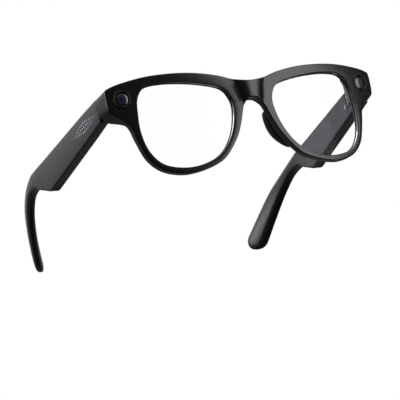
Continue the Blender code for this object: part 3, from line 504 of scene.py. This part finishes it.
bmesh.ops.delete(edit, geom=middle_faces, context="FACES")
edit.to_mesh(front.data)
edit.free()
use_modifier(front, "MIRROR", use_axis=(True, False, False), use_clip=True, merge_threshold=0.001)
for vertex in front.data.vertices:
    vertex.co = on_front(*vertex.co)

HINGE_ROOM, COVER_ROOM = 2.3, 0.2
tools = []
for side in (-1, 1):
    pivot = hinge["temple_left"] / MM
    low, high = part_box("end_cover_left")
    inner, outer = low.x / MM - COVER_ROOM, high.x / MM + COVER_ROOM
    tools.append(rounded_box("recess", (side * inner, low.y / MM - COVER_ROOM, low.z / MM - COVER_ROOM),
                             (side * outer, pivot.y + 20, high.z / MM + COVER_ROOM), 0))
    low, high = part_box("hinge_front_left")[0] / MM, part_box("hinge_pin_left")[1] / MM
    tools.append(turned("room", [(HINGE_ROOM, low.z - 0.5), (HINGE_ROOM, high.z + 0.5)],
                        (side * pivot.x, pivot.y, 0), (0, 0, 1)))
    seat = [on_front(side * EYE_U, depth, EYE_W) / MM for depth in (-1.5, 1.3)]
    sink = seat[1] - seat[0]
    tools.append(turned("seat", [(EYE_SEAT, 0), (EYE_SEAT, sink.length)], seat[0], sink, 48))
cut(front, *tools)
settle(front)
acetate = moulded("polished_black", (0.008, 0.008, 0.010), (0.012, 0.012, 0.014), (0.21, 0.25), 500.0,
                  bump=0.01)
finish(front, acetate, "front", ["front_frame"])

# ---- Lenses ---------------------------------------------------------------------------------
# Two clear hard-coated lenses, cut to the rims' openings with a thin bevel that snaps into the
# groove.  They bow forward a little and carry an anti-reflection coat.
LENS_FRONT, LENS_BACK, LENS_BOW = 1.0, 2.75, 0.7


def clear_coat(name):
    """Clear from straight on, a mirror at a glance."""
    material, nodes, links = add_material(name)
    shader = nodes["Principled BSDF"]
    shader.inputs["Metallic"].default_value = 1.0
    shader.inputs["Roughness"].default_value = 0.04
    place = nodes.new("ShaderNodeTexCoord")
    coat = nodes.new("ShaderNodeTexNoise")
    coat.inputs["Scale"].default_value = 18.0
    tint = nodes.new("ShaderNodeValToRGB")
    tint.color_ramp.elements[0].color = (0.80, 0.88, 1.0, 1.0)
    tint.color_ramp.elements[1].color = (0.90, 1.0, 0.94, 1.0)
    glance = nodes.new("ShaderNodeFresnel")
    glance.inputs["IOR"].default_value = 1.1
    links.new(place.outputs["Object"], coat.inputs["Vector"])
    links.new(coat.outputs["Fac"], tint.inputs["Fac"])
    links.new(tint.outputs["Color"], shader.inputs["Base Color"])
    links.new(glance.outputs["Fac"], shader.inputs["Alpha"])
    return material


lens_coat = clear_coat("coated_clear_lens")
for side, label in ((-1, "right"), (1, "left")):
    edge = [lens_point(2 * math.pi * i / 96, 0.28) for i in range(96)]
    rings = []
    for share, depth in [(0.06, LENS_FRONT), (0.3, LENS_FRONT), (0.55, LENS_FRONT), (0.8, LENS_FRONT),
                         (0.94, LENS_FRONT), (1.0, LENS_FRONT + 0.1), (1.0, LENS_BACK - 0.1),
                         (0.94, LENS_BACK), (0.8, LENS_BACK), (0.55, LENS_BACK), (0.3, LENS_BACK),
                         (0.06, LENS_BACK)]:
        bow = LENS_BOW * (1 - share * share)
        ring = []
        for place in edge:
            u, w = LENS_CENTRE + (place - LENS_CENTRE) * share
            ring.append(on_front(side * u, depth - bow, w))
        rings.append(ring)
    lens = settle(pull_rings(f"lens_clear_{label}", rings))
    finish(lens, lens_coat, "front", [f"lens_{label}"])

# ---- Camera and status light ------------------------------------------------------------------
# A black-coated metal ring pressed into each end block.  The one on the wearer's right holds the
# domed, violet-coated camera window; the other holds the smoked window of the status light.
EYE_SIDES, GLASS_REACH = 48, 3.2


def eye_rings(side, profile):
    """Rings about an eye's axis: profile is (radius, depth behind the front face) in mm."""
    rings = []
    for radius, depth in profile:
        ring = []
        for i in range(EYE_SIDES):
            angle = 2 * math.pi * i / EYE_SIDES
            ring.append(on_front(side * EYE_U + radius * math.cos(angle), depth,
                                 EYE_W + radius * math.sin(angle)))
        rings.append(ring)
    return rings


ring_black = moulded("ring_coating", (0.012, 0.012, 0.014), (0.020, 0.020, 0.023), (0.16, 0.24), 1400.0,
                     metallic=0.35)
RING_PROFILE = [(4.4, 1.15), (4.4, -0.15), (4.33, -0.32), (4.18, -0.42), (3.98, -0.45), (3.74, -0.42),
                (3.56, -0.32), (3.42, -0.15), (3.3, 0.1), (3.22, 0.5), (2.75, 0.55), (2.75, 1.15)]
for side, name in ((-1, "camera_bezel"), (1, "light_bezel")):
    ring = settle(pull_rings(name + "_ring", eye_rings(side, RING_PROFILE), ring_closed=True))
    finish(ring, ring_black, "front", [name])


def eye_glass(name, side, rim_colour, mid_colour, core_colour, roughness):
    """A dark coated window: a dark rim, a lighter band and the core colour in the middle, where the lens lies; on
    the camera window the lighter violet band is a painted sheen.
    """
    material, nodes, links = add_material(name)
    shader = nodes["Principled BSDF"]
    shader.inputs["Coat Weight"].default_value = 1.0
    shader.inputs["Coat Roughness"].default_value = 0.14
    shader.inputs["Roughness"].default_value = roughness
    place = nodes.new("ShaderNodeTexCoord")
    centre = nodes.new("ShaderNodeMapping")
    middle = on_front(side * EYE_U, 0, EYE_W)
    centre.inputs["Location"].default_value = [-value / (GLASS_REACH * MM) for value in middle]
    centre.inputs["Scale"].default_value = [1 / (GLASS_REACH * MM)] * 3
    sphere = nodes.new("ShaderNodeTexGradient")
    sphere.gradient_type = "SPHERICAL"
    ramp = nodes.new("ShaderNodeValToRGB")
    ramp.color_ramp.elements[0].position, ramp.color_ramp.elements[1].position = 0.12, 0.75
    ramp.color_ramp.elements[0].color = (*rim_colour, 1.0)
    ramp.color_ramp.elements[1].color = (*core_colour, 1.0)
    # A band of the middle colour partway in; on the camera window this brighter violet band is a painted sheen.
    band = ramp.color_ramp.elements.new(0.42)
    band.color = (*mid_colour, 1.0)
    links.new(place.outputs["Object"], centre.inputs["Vector"])
    links.new(centre.outputs["Vector"], sphere.inputs["Vector"])
    links.new(sphere.outputs["Fac"], ramp.inputs["Fac"])
    links.new(ramp.outputs["Color"], shader.inputs["Base Color"])
    return material


# Camera window: the violet hue is the coating's own colour, and its brighter violet band is a painted sheen.
violet = eye_glass("violet_glass_painted_sheen", -1, (0.012, 0.011, 0.018), (0.045, 0.040, 0.085),
                   (0.020, 0.017, 0.042), 0.22)
smoked = eye_glass("smoked_window", 1, (0.010, 0.010, 0.011), (0.016, 0.016, 0.018),
                   (0.020, 0.020, 0.022), 0.4)
DOME = [(3.12, 0.42), (3.12, 0.05), (3.0, -0.12), (2.6, -0.26), (1.9, -0.38), (1.0, -0.45), (0.25, -0.47)]
for side, name, glass, slot in ((-1, "camera_glass", violet, "camera_glass"),
                                (1, "light_window", smoked, "smoked_glass")):
    window = settle(pull_rings(name + "_dome", eye_rings(side, DOME)))
    finish(window, glass, "front", [name])

# ---- Nose pads --------------------------------------------------------------------------------
# A pair of soft satin black pads moulded onto the back of the rims beside the nose, thicker in
# the middle and leaning towards the nose at the back.
PAD_LINE = [(7.5, 28.0), (10.3, 21.0), (13.6, 15.2), (18.2, 9.6)]
PAD_NEAR, PAD_FAR, PAD_HALF, PAD_LEAN = 4.1, 9.2, 1.3, 1.0
rubber = moulded("satin_pad", (0.010, 0.010, 0.011), (0.015, 0.015, 0.016), (0.38, 0.5), 2500.0, bump=0.05)
pad_line = [Vector(p) for p in smooth_line(PAD_LINE, 6)]
for side, label in ((-1, "right"), (1, "left")):
    rings = []
    for i, middle in enumerate(pad_line):
        along = i / (len(pad_line) - 1)
        swell = max(math.sin(math.pi * (0.04 + 0.92 * along)), 0.0) ** 0.55
        run = (pad_line[min(i + 1, len(pad_line) - 1)] - pad_line[max(i - 1, 0)]).normalized()
        normal = Vector((-run.y, run.x))
        ring = []
        for k in range(24):
            angle = 2 * math.pi * k / 24
            c, s = math.cos(angle), math.sin(angle)
            out = PAD_HALF * swell * math.copysign(abs(c) ** 0.75, c)
            depth = PAD_NEAR + (PAD_FAR - PAD_NEAR) * swell * (1 + math.copysign(abs(s) ** 0.75, s)) / 2
            lean = PAD_LEAN * (depth - PAD_NEAR) / (PAD_FAR - PAD_NEAR)
            u, w = middle + normal * out
            ring.append(on_front(side * (u - lean), depth, w))
        rings.append(ring)
    pad = settle(pull_rings(f"nose_pad_soft_{label}", rings))
    finish(pad, rubber, "front", [f"nose_pad_{label}"])

# ---- Temples ----------------------------------------------------------------------------------
# Each temple is a satin black moulding, a deep hollow housing that necks down to a rounded ear
# tip.  It hangs on a five-part steel hinge and leans outwards a little when it is open.
slide = next(j for j in frame["joints"] if j["name"] == "power_slider_slide")
SPLAY = math.asin(-slide["axis"][0])
HINGE_DROP = 0.5
TEMPLE_INNER, TEMPLE_OUTER = 0.3, 6.1
TOP_FRONT, LOW_FRONT = 5.4, -6.5
TOP_END, LOW_END, STEP_END = (62.5, -0.5), (64.0, -17.2), (76.8, -11.4)
TIP_TOP = [(79.5, -1.8), (87.0, -3.0), (94.3, -4.9), (108.8, -12.0), (119.6, -21.2), (128.2, -30.4)]
TIP_LOW = [(79.4, -9.3), (86.4, -10.0), (93.9, -12.9), (102.6, -19.1), (111.9, -28.3), (119.8, -37.7)]
TIP_THICK, TIP_START, TIP_THIN, CURVE_START, CURVE = 5.4, 76.0, 22.0, 76.0, 6.0
GROOVE_DEEP, CROWN = 0.25, 0.35
temple_place = {}
for side, label in ((-1, "right"), (1, "left")):
    pivot = hinge[f"temple_{label}"] + Vector((0, 0, HINGE_DROP * MM))
    temple_place[side] = Matrix.Translation(pivot) @ Matrix.Rotation(-side * SPLAY, 4, "Z")


def on_temple(side, x, y, z):
    """A place outwards, back and up from the hinge, in mm, brought to the open temple, in metres."""
    return temple_place[side] @ (Vector((side * x, y, z)) * MM)


def top_height(y):
    return TOP_FRONT + (TOP_END[1] - TOP_FRONT) * y / TOP_END[0]


def low_height(y):
    return LOW_FRONT + (LOW_END[1] - LOW_FRONT) * y / LOW_END[0]


def housing_low(y):
    """The housing's lower edge: down to its low end, then up the step behind it."""
    if y <= LOW_END[0]:
        return low_height(y)
    return LOW_END[1] + (STEP_END[1] - LOW_END[1]) * (y - LOW_END[0]) / (STEP_END[0] - LOW_END[0])


def section(side, top, low, radius, soft, groove, squeeze=1.0):
    """One cross-section: a rounded block that softens to an oval towards the ear tip."""
    top, low = Vector(top), Vector(low)
    middle, up = (top + low) / 2, (top - low).normalized()
    a, b = (TEMPLE_OUTER - TEMPLE_INNER) / 2, (top - low).length / 2
    radius = min(radius, b * 0.9, a * 0.9)
    loop = []
    for corner, (sx, sz) in enumerate(((1, 1), (-1, 1), (-1, -1), (1, -1))):
        for k in range(5):
            angle = math.pi / 2 * (corner + k / 4)
            loop.append((sx * (a - radius) + radius * math.cos(angle),
                         sz * (b - radius) + radius * math.sin(angle)))
        if corner == 2:
            line = a - 1.0
            loop += [(0.0, -b), (line - 0.16, -b), (line - 0.06, -b + groove), (line + 0.06, -b + groove),
                     (line + 0.16, -b)]
        elif corner == 0:
            loop.append((0.0, b))
        else:
            loop += [(sx * a, sz * 0.5 * b), (sx * a, 0.0), (sx * a, -sz * 0.5 * b)]
    ring = []
    for x, h in loop:
        angle = math.atan2(h / b, x / a)
        c, s = math.cos(angle), math.sin(angle)
        oval = (a * math.copysign(abs(c) ** 0.95, c), b * math.copysign(abs(s) ** 0.95, s))
        x, h = x + (oval[0] - x) * soft, h + (oval[1] - h) * soft
        y, z = middle + up * h
        crown = -CROWN * (h / b) ** 2 * (1 - soft) if x > 0.9 * a else 0.0
        thin = 1 - ease(y, TIP_START, TIP_START + TIP_THIN) * (1 - TIP_THICK / (2 * a))
        inward = CURVE * MM * max(y - CURVE_START, 0.0) ** 2
        mid = (TEMPLE_OUTER + TEMPLE_INNER) / 2
        ring.append(on_temple(side, mid + (x * squeeze + crown) * thin - inward, y, z))
    return ring


def prism(name, side, outline, low, high, bevel=0.0):
    """A flat plate on the temple: its outline from the side, between two distances outwards."""
    rings = [[on_temple(side, x, y, z) for y, z in outline] for x in (low, high)]
    item = pull_rings(name, rings)
    if bevel:
        use_modifier(item, "BEVEL", width=bevel * MM, segments=2, limit_method="ANGLE",
                     angle_limit=math.radians(40))
    return item


def housing_plate(front, back, wall):
    """The housing's outline from the side, a wall's thickness inside it."""
    corner = LOW_END[0] - wall / 2
    return [(front, top_height(front) - wall), (back, top_height(back) - wall),
            (back, housing_low(back) + wall),
            (corner, low_height(corner) + wall), (front, low_height(front) + wall)]


COVER_FRONT, COVER_BACK, COVER_WALL, COVER_SKIN = 13.3, 70.5, 1.0, 1.1
BUTTON_AT, SLIDER_AT, SLIDER_Z = 22.5, 25.5, -3.6
SOUND_AT, GRILLE_AT, GRILLE_LONG, GRILLE_WIDE = 26.0, 58.6, 8.0, 1.8
satin = moulded("satin_black", (0.011, 0.011, 0.013), (0.016, 0.016, 0.019), (0.30, 0.38), 1500.0, bump=0.03)
TIP_END, TIP_RADIUS, TIP_ANGLE = 124.0, 5.6, math.radians(-49)
for side, label in ((-1, "right"), (1, "left")):
    rings = [section(side, (0.2, TOP_FRONT - 0.35), (0.2, LOW_FRONT + 0.35), 1.1, 0, 0, 0.9)]
    rings.append(section(side, (0.32, TOP_FRONT - 0.1), (0.32, LOW_FRONT + 0.1), 1.2, 0, 0, 0.975))
    for y in (0.6, 2.0, 15.0, 30.0, 45.0, 58.0):
        round_off = 0.7 + 0.5 * (1 - ease(y, 0, 10))
        groove = GROOVE_DEEP if y > 1 else 0
        rings.append(section(side, (y, top_height(y)), (y, low_height(y)), round_off, 0, groove))
    rings.append(section(side, (62.0, top_height(62.0)), (63.2, low_height(63.2)), 0.7, 0, GROOVE_DEEP))
    rings.append(section(side, (62.8, -0.52), (64.8, -16.85), 0.7, 0, 0))
    rings.append(section(side, (73.5, -1.35), (75.9, -11.8), 0.8, 0, 0))
    rings.append(section(side, (76.0, -1.5), (77.3, -10.9), 0.9, 0, 0))
    tops, lows = smooth_line(TIP_TOP, 5), smooth_line(TIP_LOW, 5)
    for i, (top, low) in enumerate(zip(tops, lows)):
        soft = ease(i, 0, 10)
        rings.append(section(side, top, low, 1.0 + 0.9 * soft, soft, 0))
    heel = Vector((TIP_END, -hinge["temple_left"].z / MM - HINGE_DROP + TIP_RADIUS))
    run = Vector((math.cos(TIP_ANGLE), math.sin(TIP_ANGLE)))
    rise = Vector((-run.y, run.x))
    for degrees in (14, 28, 42, 56, 68, 78, 85):
        turn = math.radians(degrees)
        middle = heel + run * TIP_RADIUS * math.sin(turn)
        reach = rise * TIP_RADIUS * math.cos(turn)
        rings.append(section(side, middle + reach, middle - reach, 1.9, 1, 0, math.cos(turn) ** 0.5))
    shell = pull_rings(f"temple_moulding_{label}", rings)
    tools = [prism("seat", side, housing_plate(COVER_FRONT - 0.12, COVER_BACK + 0.12, COVER_WALL - 0.12),
                   -1.0, TEMPLE_INNER + COVER_SKIN + 0.15),
             prism("hollow", side, housing_plate(17.0, 65.5, 1.9), -1.0, 4.9),
             prism("leaf_seat", side, [(-1, 2.9), (12.3, 2.9), (12.3, -3.9), (-1, -3.9)], -1.0, 2.0)]
    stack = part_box(f"hinge_front_{label}")
    pivot = hinge[f"temple_{label}"] / MM
    tools.append(turned("room", [(HINGE_ROOM, stack[0].z / MM - 0.5), (HINGE_ROOM, stack[1].z / MM + 1.5)],
                        (pivot.x, pivot.y, 0), (0, 0, 1)))
    mid = (TEMPLE_OUTER + TEMPLE_INNER) / 2
    ends = [(GRILLE_AT + k * GRILLE_LONG / 2 + 0.15 * k) for k in (-1, 1)]
    tools.append(prism("grille_slot", side,
                       [(ends[0], low_height(ends[0]) - 1), (ends[1], low_height(ends[1]) - 1),
                        (ends[1], low_height(ends[1]) + 1.1), (ends[0], low_height(ends[0]) + 1.1)],
                       mid - GRILLE_WIDE / 2 - 0.15, mid + GRILLE_WIDE / 2 + 0.15))
    port = on_temple(side, 3.0, SOUND_AT, -14.0) / MM
    tools.append(turned("port", [(0.5, 0), (0.5, 6.0)], port, (0, 0, 1), 16))
    if label == "right":
        tools.append(prism("button_slot", side, [(BUTTON_AT - 4.7, 8), (BUTTON_AT + 4.7, 8),
                                                 (BUTTON_AT + 4.7, 0.5), (BUTTON_AT - 4.7, 0.5)],
                           mid - 1.4, mid + 1.4))
    cut(shell, *tools)
    settle(shell)
    finish(shell, satin, f"temple_{label}", [f"temple_shell_{label}"])

# ---- Touch mark -------------------------------------------------------------------------------
# Small dots printed in pale grey ink on the wearer's right temple mark the touch area.  They lie in
# three rows that swell towards the middle.
MARK_FROM, MARK_STEP, MARK_COUNT, MARK_MIDDLE = 4.0, 2.0, 13, -1.6
ink = moulded("pale_ink", (0.60, 0.61, 0.64), (0.72, 0.73, 0.76), (0.45, 0.6), 1800.0)
mark_turn = temple_place[-1].to_3x3() @ Vector((-1, 0, 0))
dots = []
for i in range(MARK_COUNT):
    share = 1 - abs(2 * i / (MARK_COUNT - 1) - 1)
    for row in (-1, 0, 1):
        if row and share < 0.3:
            continue
        y = MARK_FROM + MARK_STEP * i
        z = MARK_MIDDLE - 0.07 * (y - MARK_FROM) + row * (0.8 + 1.4 * share)
        middle, half = (top_height(y) + low_height(y)) / 2, (top_height(y) - low_height(y)) / 2
        start = on_temple(-1, TEMPLE_OUTER - CROWN * ((z - middle) / half) ** 2 - 0.12, y, z) / MM
        radius = 0.36 + 0.2 * share
        profile = [(radius, 0.0), (radius, 0.15), (radius - 0.05, 0.17)]
        dots.append(turned("mark_dot", profile, start, mark_turn, 12))
deselect()
for dot in dots:
    dot.select_set(True)
bpy.context.view_layer.objects.active = dots[0]
bpy.ops.object.join()
dots[0].name = "touch_mark"
finish(settle(dots[0]), ink, "temple_right", None)

# ---- Inner covers -----------------------------------------------------------------------------
# A grey satin plate closes each housing on the side towards the head.  It is let in flush and a
# small screw holds each end; the one on the wearer's right has the power switch's slot.
cover_grey = moulded("cover_grey", (0.040, 0.041, 0.047), (0.048, 0.049, 0.056), (0.34, 0.42), 1800.0,
                     bump=0.02)
COVER_SCREWS, LEAF_SCREWS, FRONT_SCREWS = (15.2, 68.2), (5.0, 9.4), (-2.2, 2.2)
SCREW_R, SCREW_HEAD_R, SCREW_HEAD, SCREW_LONG, GAP = 0.7, 1.1, 0.45, 2.2, 0.3
steel = moulded("screw_steel", (0.42, 0.43, 0.45), (0.56, 0.57, 0.60), (0.18, 0.34), 2200.0, metallic=1.0)


def screw(name, head, along, slot_way, body, node):
    """A small cheese-head screw with a rounded head, a cross recess and a stepped shank."""
    profile = [(SCREW_HEAD_R - 0.12, 0.0), (SCREW_HEAD_R - 0.03, 0.04), (SCREW_HEAD_R, 0.14),
               (SCREW_HEAD_R, SCREW_HEAD), (SCREW_R, SCREW_HEAD), (SCREW_R, SCREW_LONG - 0.25),
               (SCREW_R - 0.25, SCREW_LONG)]
    item = turned(name, profile, head, along, 28)
    along, slot_way = Vector(along).normalized(), Vector(slot_way).normalized()
    other = along.cross(slot_way)
    for run, wide in ((slot_way, other), (other, slot_way)):
        tool = rounded_box("recess", (-0.13, -0.62, -0.3), (0.13, 0.62, 0.26), 0)
        tool.matrix_world = Matrix.Translation(Vector(head) * MM) @ Matrix(
            (wide, run, along)).transposed().to_4x4()
        cut(item, tool)
    finish(settle(item), steel, body, [node])


def screw_seat(head, along):
    """The clearance hole and sink that a screw drops into."""
    profile = [(SCREW_HEAD_R + 0.12, -1.0), (SCREW_HEAD_R + 0.12, SCREW_HEAD + 0.06),
               (SCREW_R + 0.1, SCREW_HEAD + 0.06), (SCREW_R + 0.1, SCREW_LONG + 0.2)]
    return turned("screw_seat", profile, head, along, 28)


for side, label in ((-1, "right"), (1, "left")):
    body = f"temple_{label}"
    inward = temple_place[side].to_3x3() @ Vector((side, 0, 0))
    upward = Vector((0, 0, 1))
    plate = prism(f"inner_cover_{label}", side, housing_plate(COVER_FRONT, COVER_BACK, COVER_WALL),
                  TEMPLE_INNER, TEMPLE_INNER + COVER_SKIN, bevel=0.14)
    heads = []
    for back in COVER_SCREWS:
        middle = (top_height(back) + housing_low(back)) / 2
        heads.append(on_temple(side, TEMPLE_INNER + 0.1, back, middle) / MM)
    cut(plate, *[screw_seat(head, inward) for head in heads])
    if label == "right":
        start, stop, half = SLIDER_AT - 1.75, SLIDER_AT + 3.75, 1.15
        cut(plate, prism("slider_slot", side,
                         [(start, SLIDER_Z + half), (stop, SLIDER_Z + half),
                          (stop, SLIDER_Z - half), (start, SLIDER_Z - half)], -1.0, 2.5))
    finish(settle(plate), cover_grey, body, [f"temple_cover_{label}"])
    for i, head in enumerate(heads):
        screw(f"inner_cover_screw_{label}_{i + 1}", head, inward, upward, body,
              f"cover_screw_{label}_{i + 1}")

# ---- Hinges -----------------------------------------------------------------------------------
# Each hinge is a pair of machined steel leaves: two knuckles on the front, one on the temple, and
# a headed pin pressed through all three.  Two screws hold each leaf.
bright = moulded("hinge_steel", (0.15, 0.15, 0.165), (0.22, 0.22, 0.24), (0.16, 0.30), 900.0, metallic=1.0,
                 stretch=(1, 1, 0.2))
KNUCKLE, KNUCKLE_TALL, KNUCKLE_GAP, PIN, LEAF = 1.8, 2.3, 0.35, 0.6, 1.2
FRONT_REACH, TEMPLE_REACH, LEAF_HALF, SPLIT = 6.6, 12.0, 3.0, 0.4
STACK_LOW, STACK_HIGH = -4.3, 3.3
LEAF_START, FRONT_SCREW_IN = 0.4, 4.6


def knuckle(low, high, place, grow=0.0):
    edge = 0.0 if grow else 0.15
    profile = [(KNUCKLE + grow - edge, low), (KNUCKLE + grow, low + edge + 0.01),
               (KNUCKLE + grow, high - edge - 0.01), (KNUCKLE + grow - edge, high)]
    item = turned("knuckle", profile, (0, 0, 0), (0, 0, 1), 40)
    item.matrix_world = place
    return item


def bore(place):
    profile = [(PIN + 0.15, STACK_LOW - 1), (PIN + 0.15, STACK_HIGH + 1)]
    item = turned("bore", profile, (0, 0, 0), (0, 0, 1), 32)
    item.matrix_world = place
    return item


def leaf_plate(name, low, high, place):
    item = rounded_box(name, low, high, 0.2)
    item.matrix_world = place
    return item


for side, label in ((-1, "right"), (1, "left")):
    upright_place = Matrix.Translation(hinge[f"temple_{label}"] + Vector((0, 0, HINGE_DROP * MM)))
    x0, x1 = sorted((-side * FRONT_REACH, -side * LEAF_START))
    leaf = leaf_plate(f"front_leaf_{label}", (x0, -SPLIT - LEAF, STACK_LOW), (x1, -SPLIT, STACK_HIGH),
                      upright_place)
    join(leaf, knuckle(STACK_LOW, STACK_LOW + KNUCKLE_TALL, upright_place),
         knuckle(STACK_HIGH - KNUCKLE_TALL, STACK_HIGH, upright_place))
    cut(leaf, knuckle(STACK_LOW + KNUCKLE_TALL, STACK_HIGH - KNUCKLE_TALL, upright_place, GAP),
        bore(upright_place))
    heads = [upright_place @ (Vector((-side * FRONT_SCREW_IN, -SPLIT - GAP / 2, rise - HINGE_DROP)) * MM) / MM
             for rise in FRONT_SCREWS]
    cut(leaf, *[screw_seat(head, (0, -1, 0)) for head in heads])
    finish(settle(leaf), bright, "front", [f"hinge_front_{label}"])
    for i, head in enumerate(heads):
        screw(f"front_screw_{label}_{i + 1}", head, (0, -1, 0), (0, 0, 1), "front",
              f"front_leaf_screw_{label}_{i + 1}")

    place = temple_place[side]
    inward = place.to_3x3() @ Vector((side, 0, 0))
    x0, x1 = sorted((side * LEAF_START, side * (LEAF_START + LEAF)))
    low, high = -HINGE_DROP - LEAF_HALF, -HINGE_DROP + LEAF_HALF
    leaf = leaf_plate(f"temple_leaf_{label}", (x0, 0.4, low), (x1, TEMPLE_REACH, high), place)
    middle = STACK_LOW + KNUCKLE_TALL + KNUCKLE_GAP
    join(leaf, knuckle(middle, middle + KNUCKLE_TALL, place))
    cut(leaf, knuckle(STACK_LOW - 1, middle, place, GAP),
        knuckle(middle + KNUCKLE_TALL, STACK_HIGH + 1, place, GAP), bore(place))
    heads = [on_temple(side, 0.5, back, -HINGE_DROP) / MM for back in LEAF_SCREWS]
    cut(leaf, *[screw_seat(head, inward) for head in heads])
    finish(settle(leaf), bright, f"temple_{label}", [f"hinge_temple_{label}"])
    for i, head in enumerate(heads):
        screw(f"leaf_screw_{label}_{i + 1}", head, inward, (0, 0, 1), f"temple_{label}",
              f"temple_leaf_screw_{label}_{i + 1}")

    top = STACK_HIGH + GAP
    profile = [(PIN - 0.12, STACK_LOW), (PIN, STACK_LOW + 0.15), (PIN, top), (1.2, top),
               (1.2, top + 0.4), (1.05, top + 0.6), (0.7, top + 0.7)]
    pin = turned(f"pin_{label}", profile, (0, 0, 0), (0, 0, 1), 40)
    pin.matrix_world = upright_place
    finish(settle(pin), bright, "front", [f"hinge_pin_{label}"])

# ---- Front's back: end covers and charging contacts ---------------------------------------------
# Behind each eye a small black cover closes the block, drilled for the hinge screws.  The bridge
# carries a flat black block with two domed gold charging contacts.
for side, label in ((-1, "right"), (1, "left")):
    low, high = (Vector(p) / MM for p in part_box(f"end_cover_{label}"))
    cover = rounded_box(f"block_cover_{label}", low, high, 0.18)
    pivot = hinge[f"temple_{label}"] / MM
    bore_line = [(SCREW_R + 0.12, 0), (SCREW_R + 0.12, 6)]
    inner = pivot.x - side * FRONT_SCREW_IN
    holes = [turned("hole", bore_line, (inner, pivot.y, pivot.z + rise), (0, -1, 0), 24)
             for rise in FRONT_SCREWS]
    cut(cover, *holes)
    finish(settle(cover), satin, "front", [f"end_cover_{label}"])

block_black = moulded("block_black", (0.010, 0.010, 0.011), (0.014, 0.014, 0.015), (0.4, 0.5), 2000.0,
                      bump=0.03)
gold = moulded("contact_gold", (0.78, 0.54, 0.18), (0.86, 0.64, 0.28), (0.16, 0.28), 2500.0, metallic=1.0)
block_low, block_high = (-6.5, 5.3, CHARGE_W - 2.2), (6.5, 6.7, CHARGE_W + 2.2)
lower, upper = block_low[2] - DATUM_W, block_high[2] - DATUM_W
block = rounded_box("contact_block", (block_low[0], block_low[1], lower),
                    (block_high[0], block_high[1], upper), 0.3)
block.matrix_world = front_place
CONTACTS = (-2.5, 2.5)
wells = []
for u in CONTACTS:
    start = front_place @ (Vector((u, block_low[1] - 0.5, CHARGE_W - DATUM_W)) * MM) / MM
    wells.append(turned("well", [(1.08, 0), (1.08, 2.4)], start, tilt @ Vector((0, 1, 0)), 32))
cut(block, *wells)
finish(settle(block), block_black, "front", ["charge_block"])
for i, u in enumerate(CONTACTS):
    start = front_place @ (Vector((u, 5.6, CHARGE_W - DATUM_W)) * MM) / MM
    profile = [(0.9, 0), (0.9, 0.7), (0.8, 0.9), (0.5, 1.05), (0.15, 1.1)]
    contact = turned(f"contact_{i + 1}", profile, start, tilt @ Vector((0, 1, 0)), 32)
    finish(settle(contact), gold, "front", [f"charge_contact_{i + 1}"])

# ---- Grilles, capture button and power slider -------------------------------------------------
# A small drilled steel plate in the bottom edge of each housing lets the speaker out.  The button
# in the top edge takes a picture and the slider in the inner cover turns the glasses on.
dark_metal = moulded("dark_metal", (0.06, 0.06, 0.065), (0.09, 0.09, 0.10), (0.26, 0.38), 2000.0,
                     metallic=0.9)
HOLE_COUNT, HOLE_STEP, HOLE_ROWS, BUTTON_FOOT = 6, 1.25, (-0.38, 0.38), 1.6
mid = (TEMPLE_INNER + TEMPLE_OUTER) / 2
for side, label in ((-1, "right"), (1, "left")):
    slope = Matrix.Rotation(math.atan2(LOW_END[1] - LOW_FRONT, LOW_END[0]), 4, "X")
    spot = Matrix.Translation(Vector((side * mid, GRILLE_AT, low_height(GRILLE_AT))) * MM)
    place = temple_place[side] @ spot @ slope
    plate = rounded_box(f"sound_grille_{label}", (-GRILLE_WIDE / 2, -GRILLE_LONG / 2, 0.175),
                        (GRILLE_WIDE / 2, GRILLE_LONG / 2, 0.975), 0.1)
    plate.matrix_world = place
    upward = place.to_3x3() @ Vector((0, 0, 1))
    for k in range(HOLE_COUNT):
        for row in HOLE_ROWS:
            start = place @ (Vector((row, (k - (HOLE_COUNT - 1) / 2) * HOLE_STEP, -0.5)) * MM) / MM
            cut(plate, turned("hole", [(0.24, 0), (0.24, 2.4)], start, upward, 14))
    finish(settle(plate), dark_metal, f"temple_{label}", [f"speaker_grille_{label}"])

place = temple_place[-1] @ Matrix.Translation(Vector((-mid, BUTTON_AT, BUTTON_FOOT)) * MM)
crown = top_height(BUTTON_AT) + 0.7 - BUTTON_FOOT
button = rounded_box("shutter_button", (-1.2, -4.5, 0.0), (1.2, 4.5, crown), 0.45)
button.matrix_world = place
dish = rounded_box("dish", (-0.55, -2.6, crown - 0.12), (0.55, 2.6, crown + 1.0), 0.1)
dish.matrix_world = place
cut(button, dish)
finish(settle(button), dark_metal, "capture_button", ["capture_button"])

place = temple_place[-1] @ Matrix.Translation(Vector((-TEMPLE_INNER, SLIDER_AT, SLIDER_Z)) * MM)
slider = rounded_box("on_slider", (-COVER_SKIN, -1.5, -0.9), (0.2, 1.5, 0.9), 0.1)
slider.matrix_world = place
for k in (-0.7, 0.0, 0.7):
    ridge = rounded_box("ridge", (0.08, k - 0.14, -1.2), (0.5, k + 0.14, 1.2), 0)
    ridge.matrix_world = place
    cut(slider, ridge)
finish(settle(slider), dark_metal, "power_slider", ["power_slider"])

# ---- Works inside ---------------------------------------------------------------------------
# The camera, boards, cells, speakers and switches sit behind the mouldings and are hardly seen.
# They keep their plain shapes and take fitting finishes.
green = moulded("solder_mask", (0.006, 0.045, 0.020), (0.012, 0.075, 0.034), (0.3, 0.42), 3000.0)
foil = moulded("cell_foil", (0.42, 0.43, 0.45), (0.54, 0.55, 0.57), (0.22, 0.4), 700.0, bump=0.2,
               metallic=0.9)
film = moulded("sensor_film", (0.30, 0.13, 0.02), (0.42, 0.20, 0.04), (0.3, 0.42), 1200.0)
INSIDE = {
    "camera_module": block_black, "camera_board": green, "light_board": green, "main_board_right": green,
    "aux_board_left": green, "battery_right": foil, "battery_left": foil, "speaker_right": block_black,
    "speaker_left": block_black, "microphone_right": bright, "microphone_left": bright,
    "touch_film": film, "capture_switch": block_black, "power_switch": block_black,
}
for name, material in INSIDE.items():
    frame["nodes"][name].material_slots[0].material = material
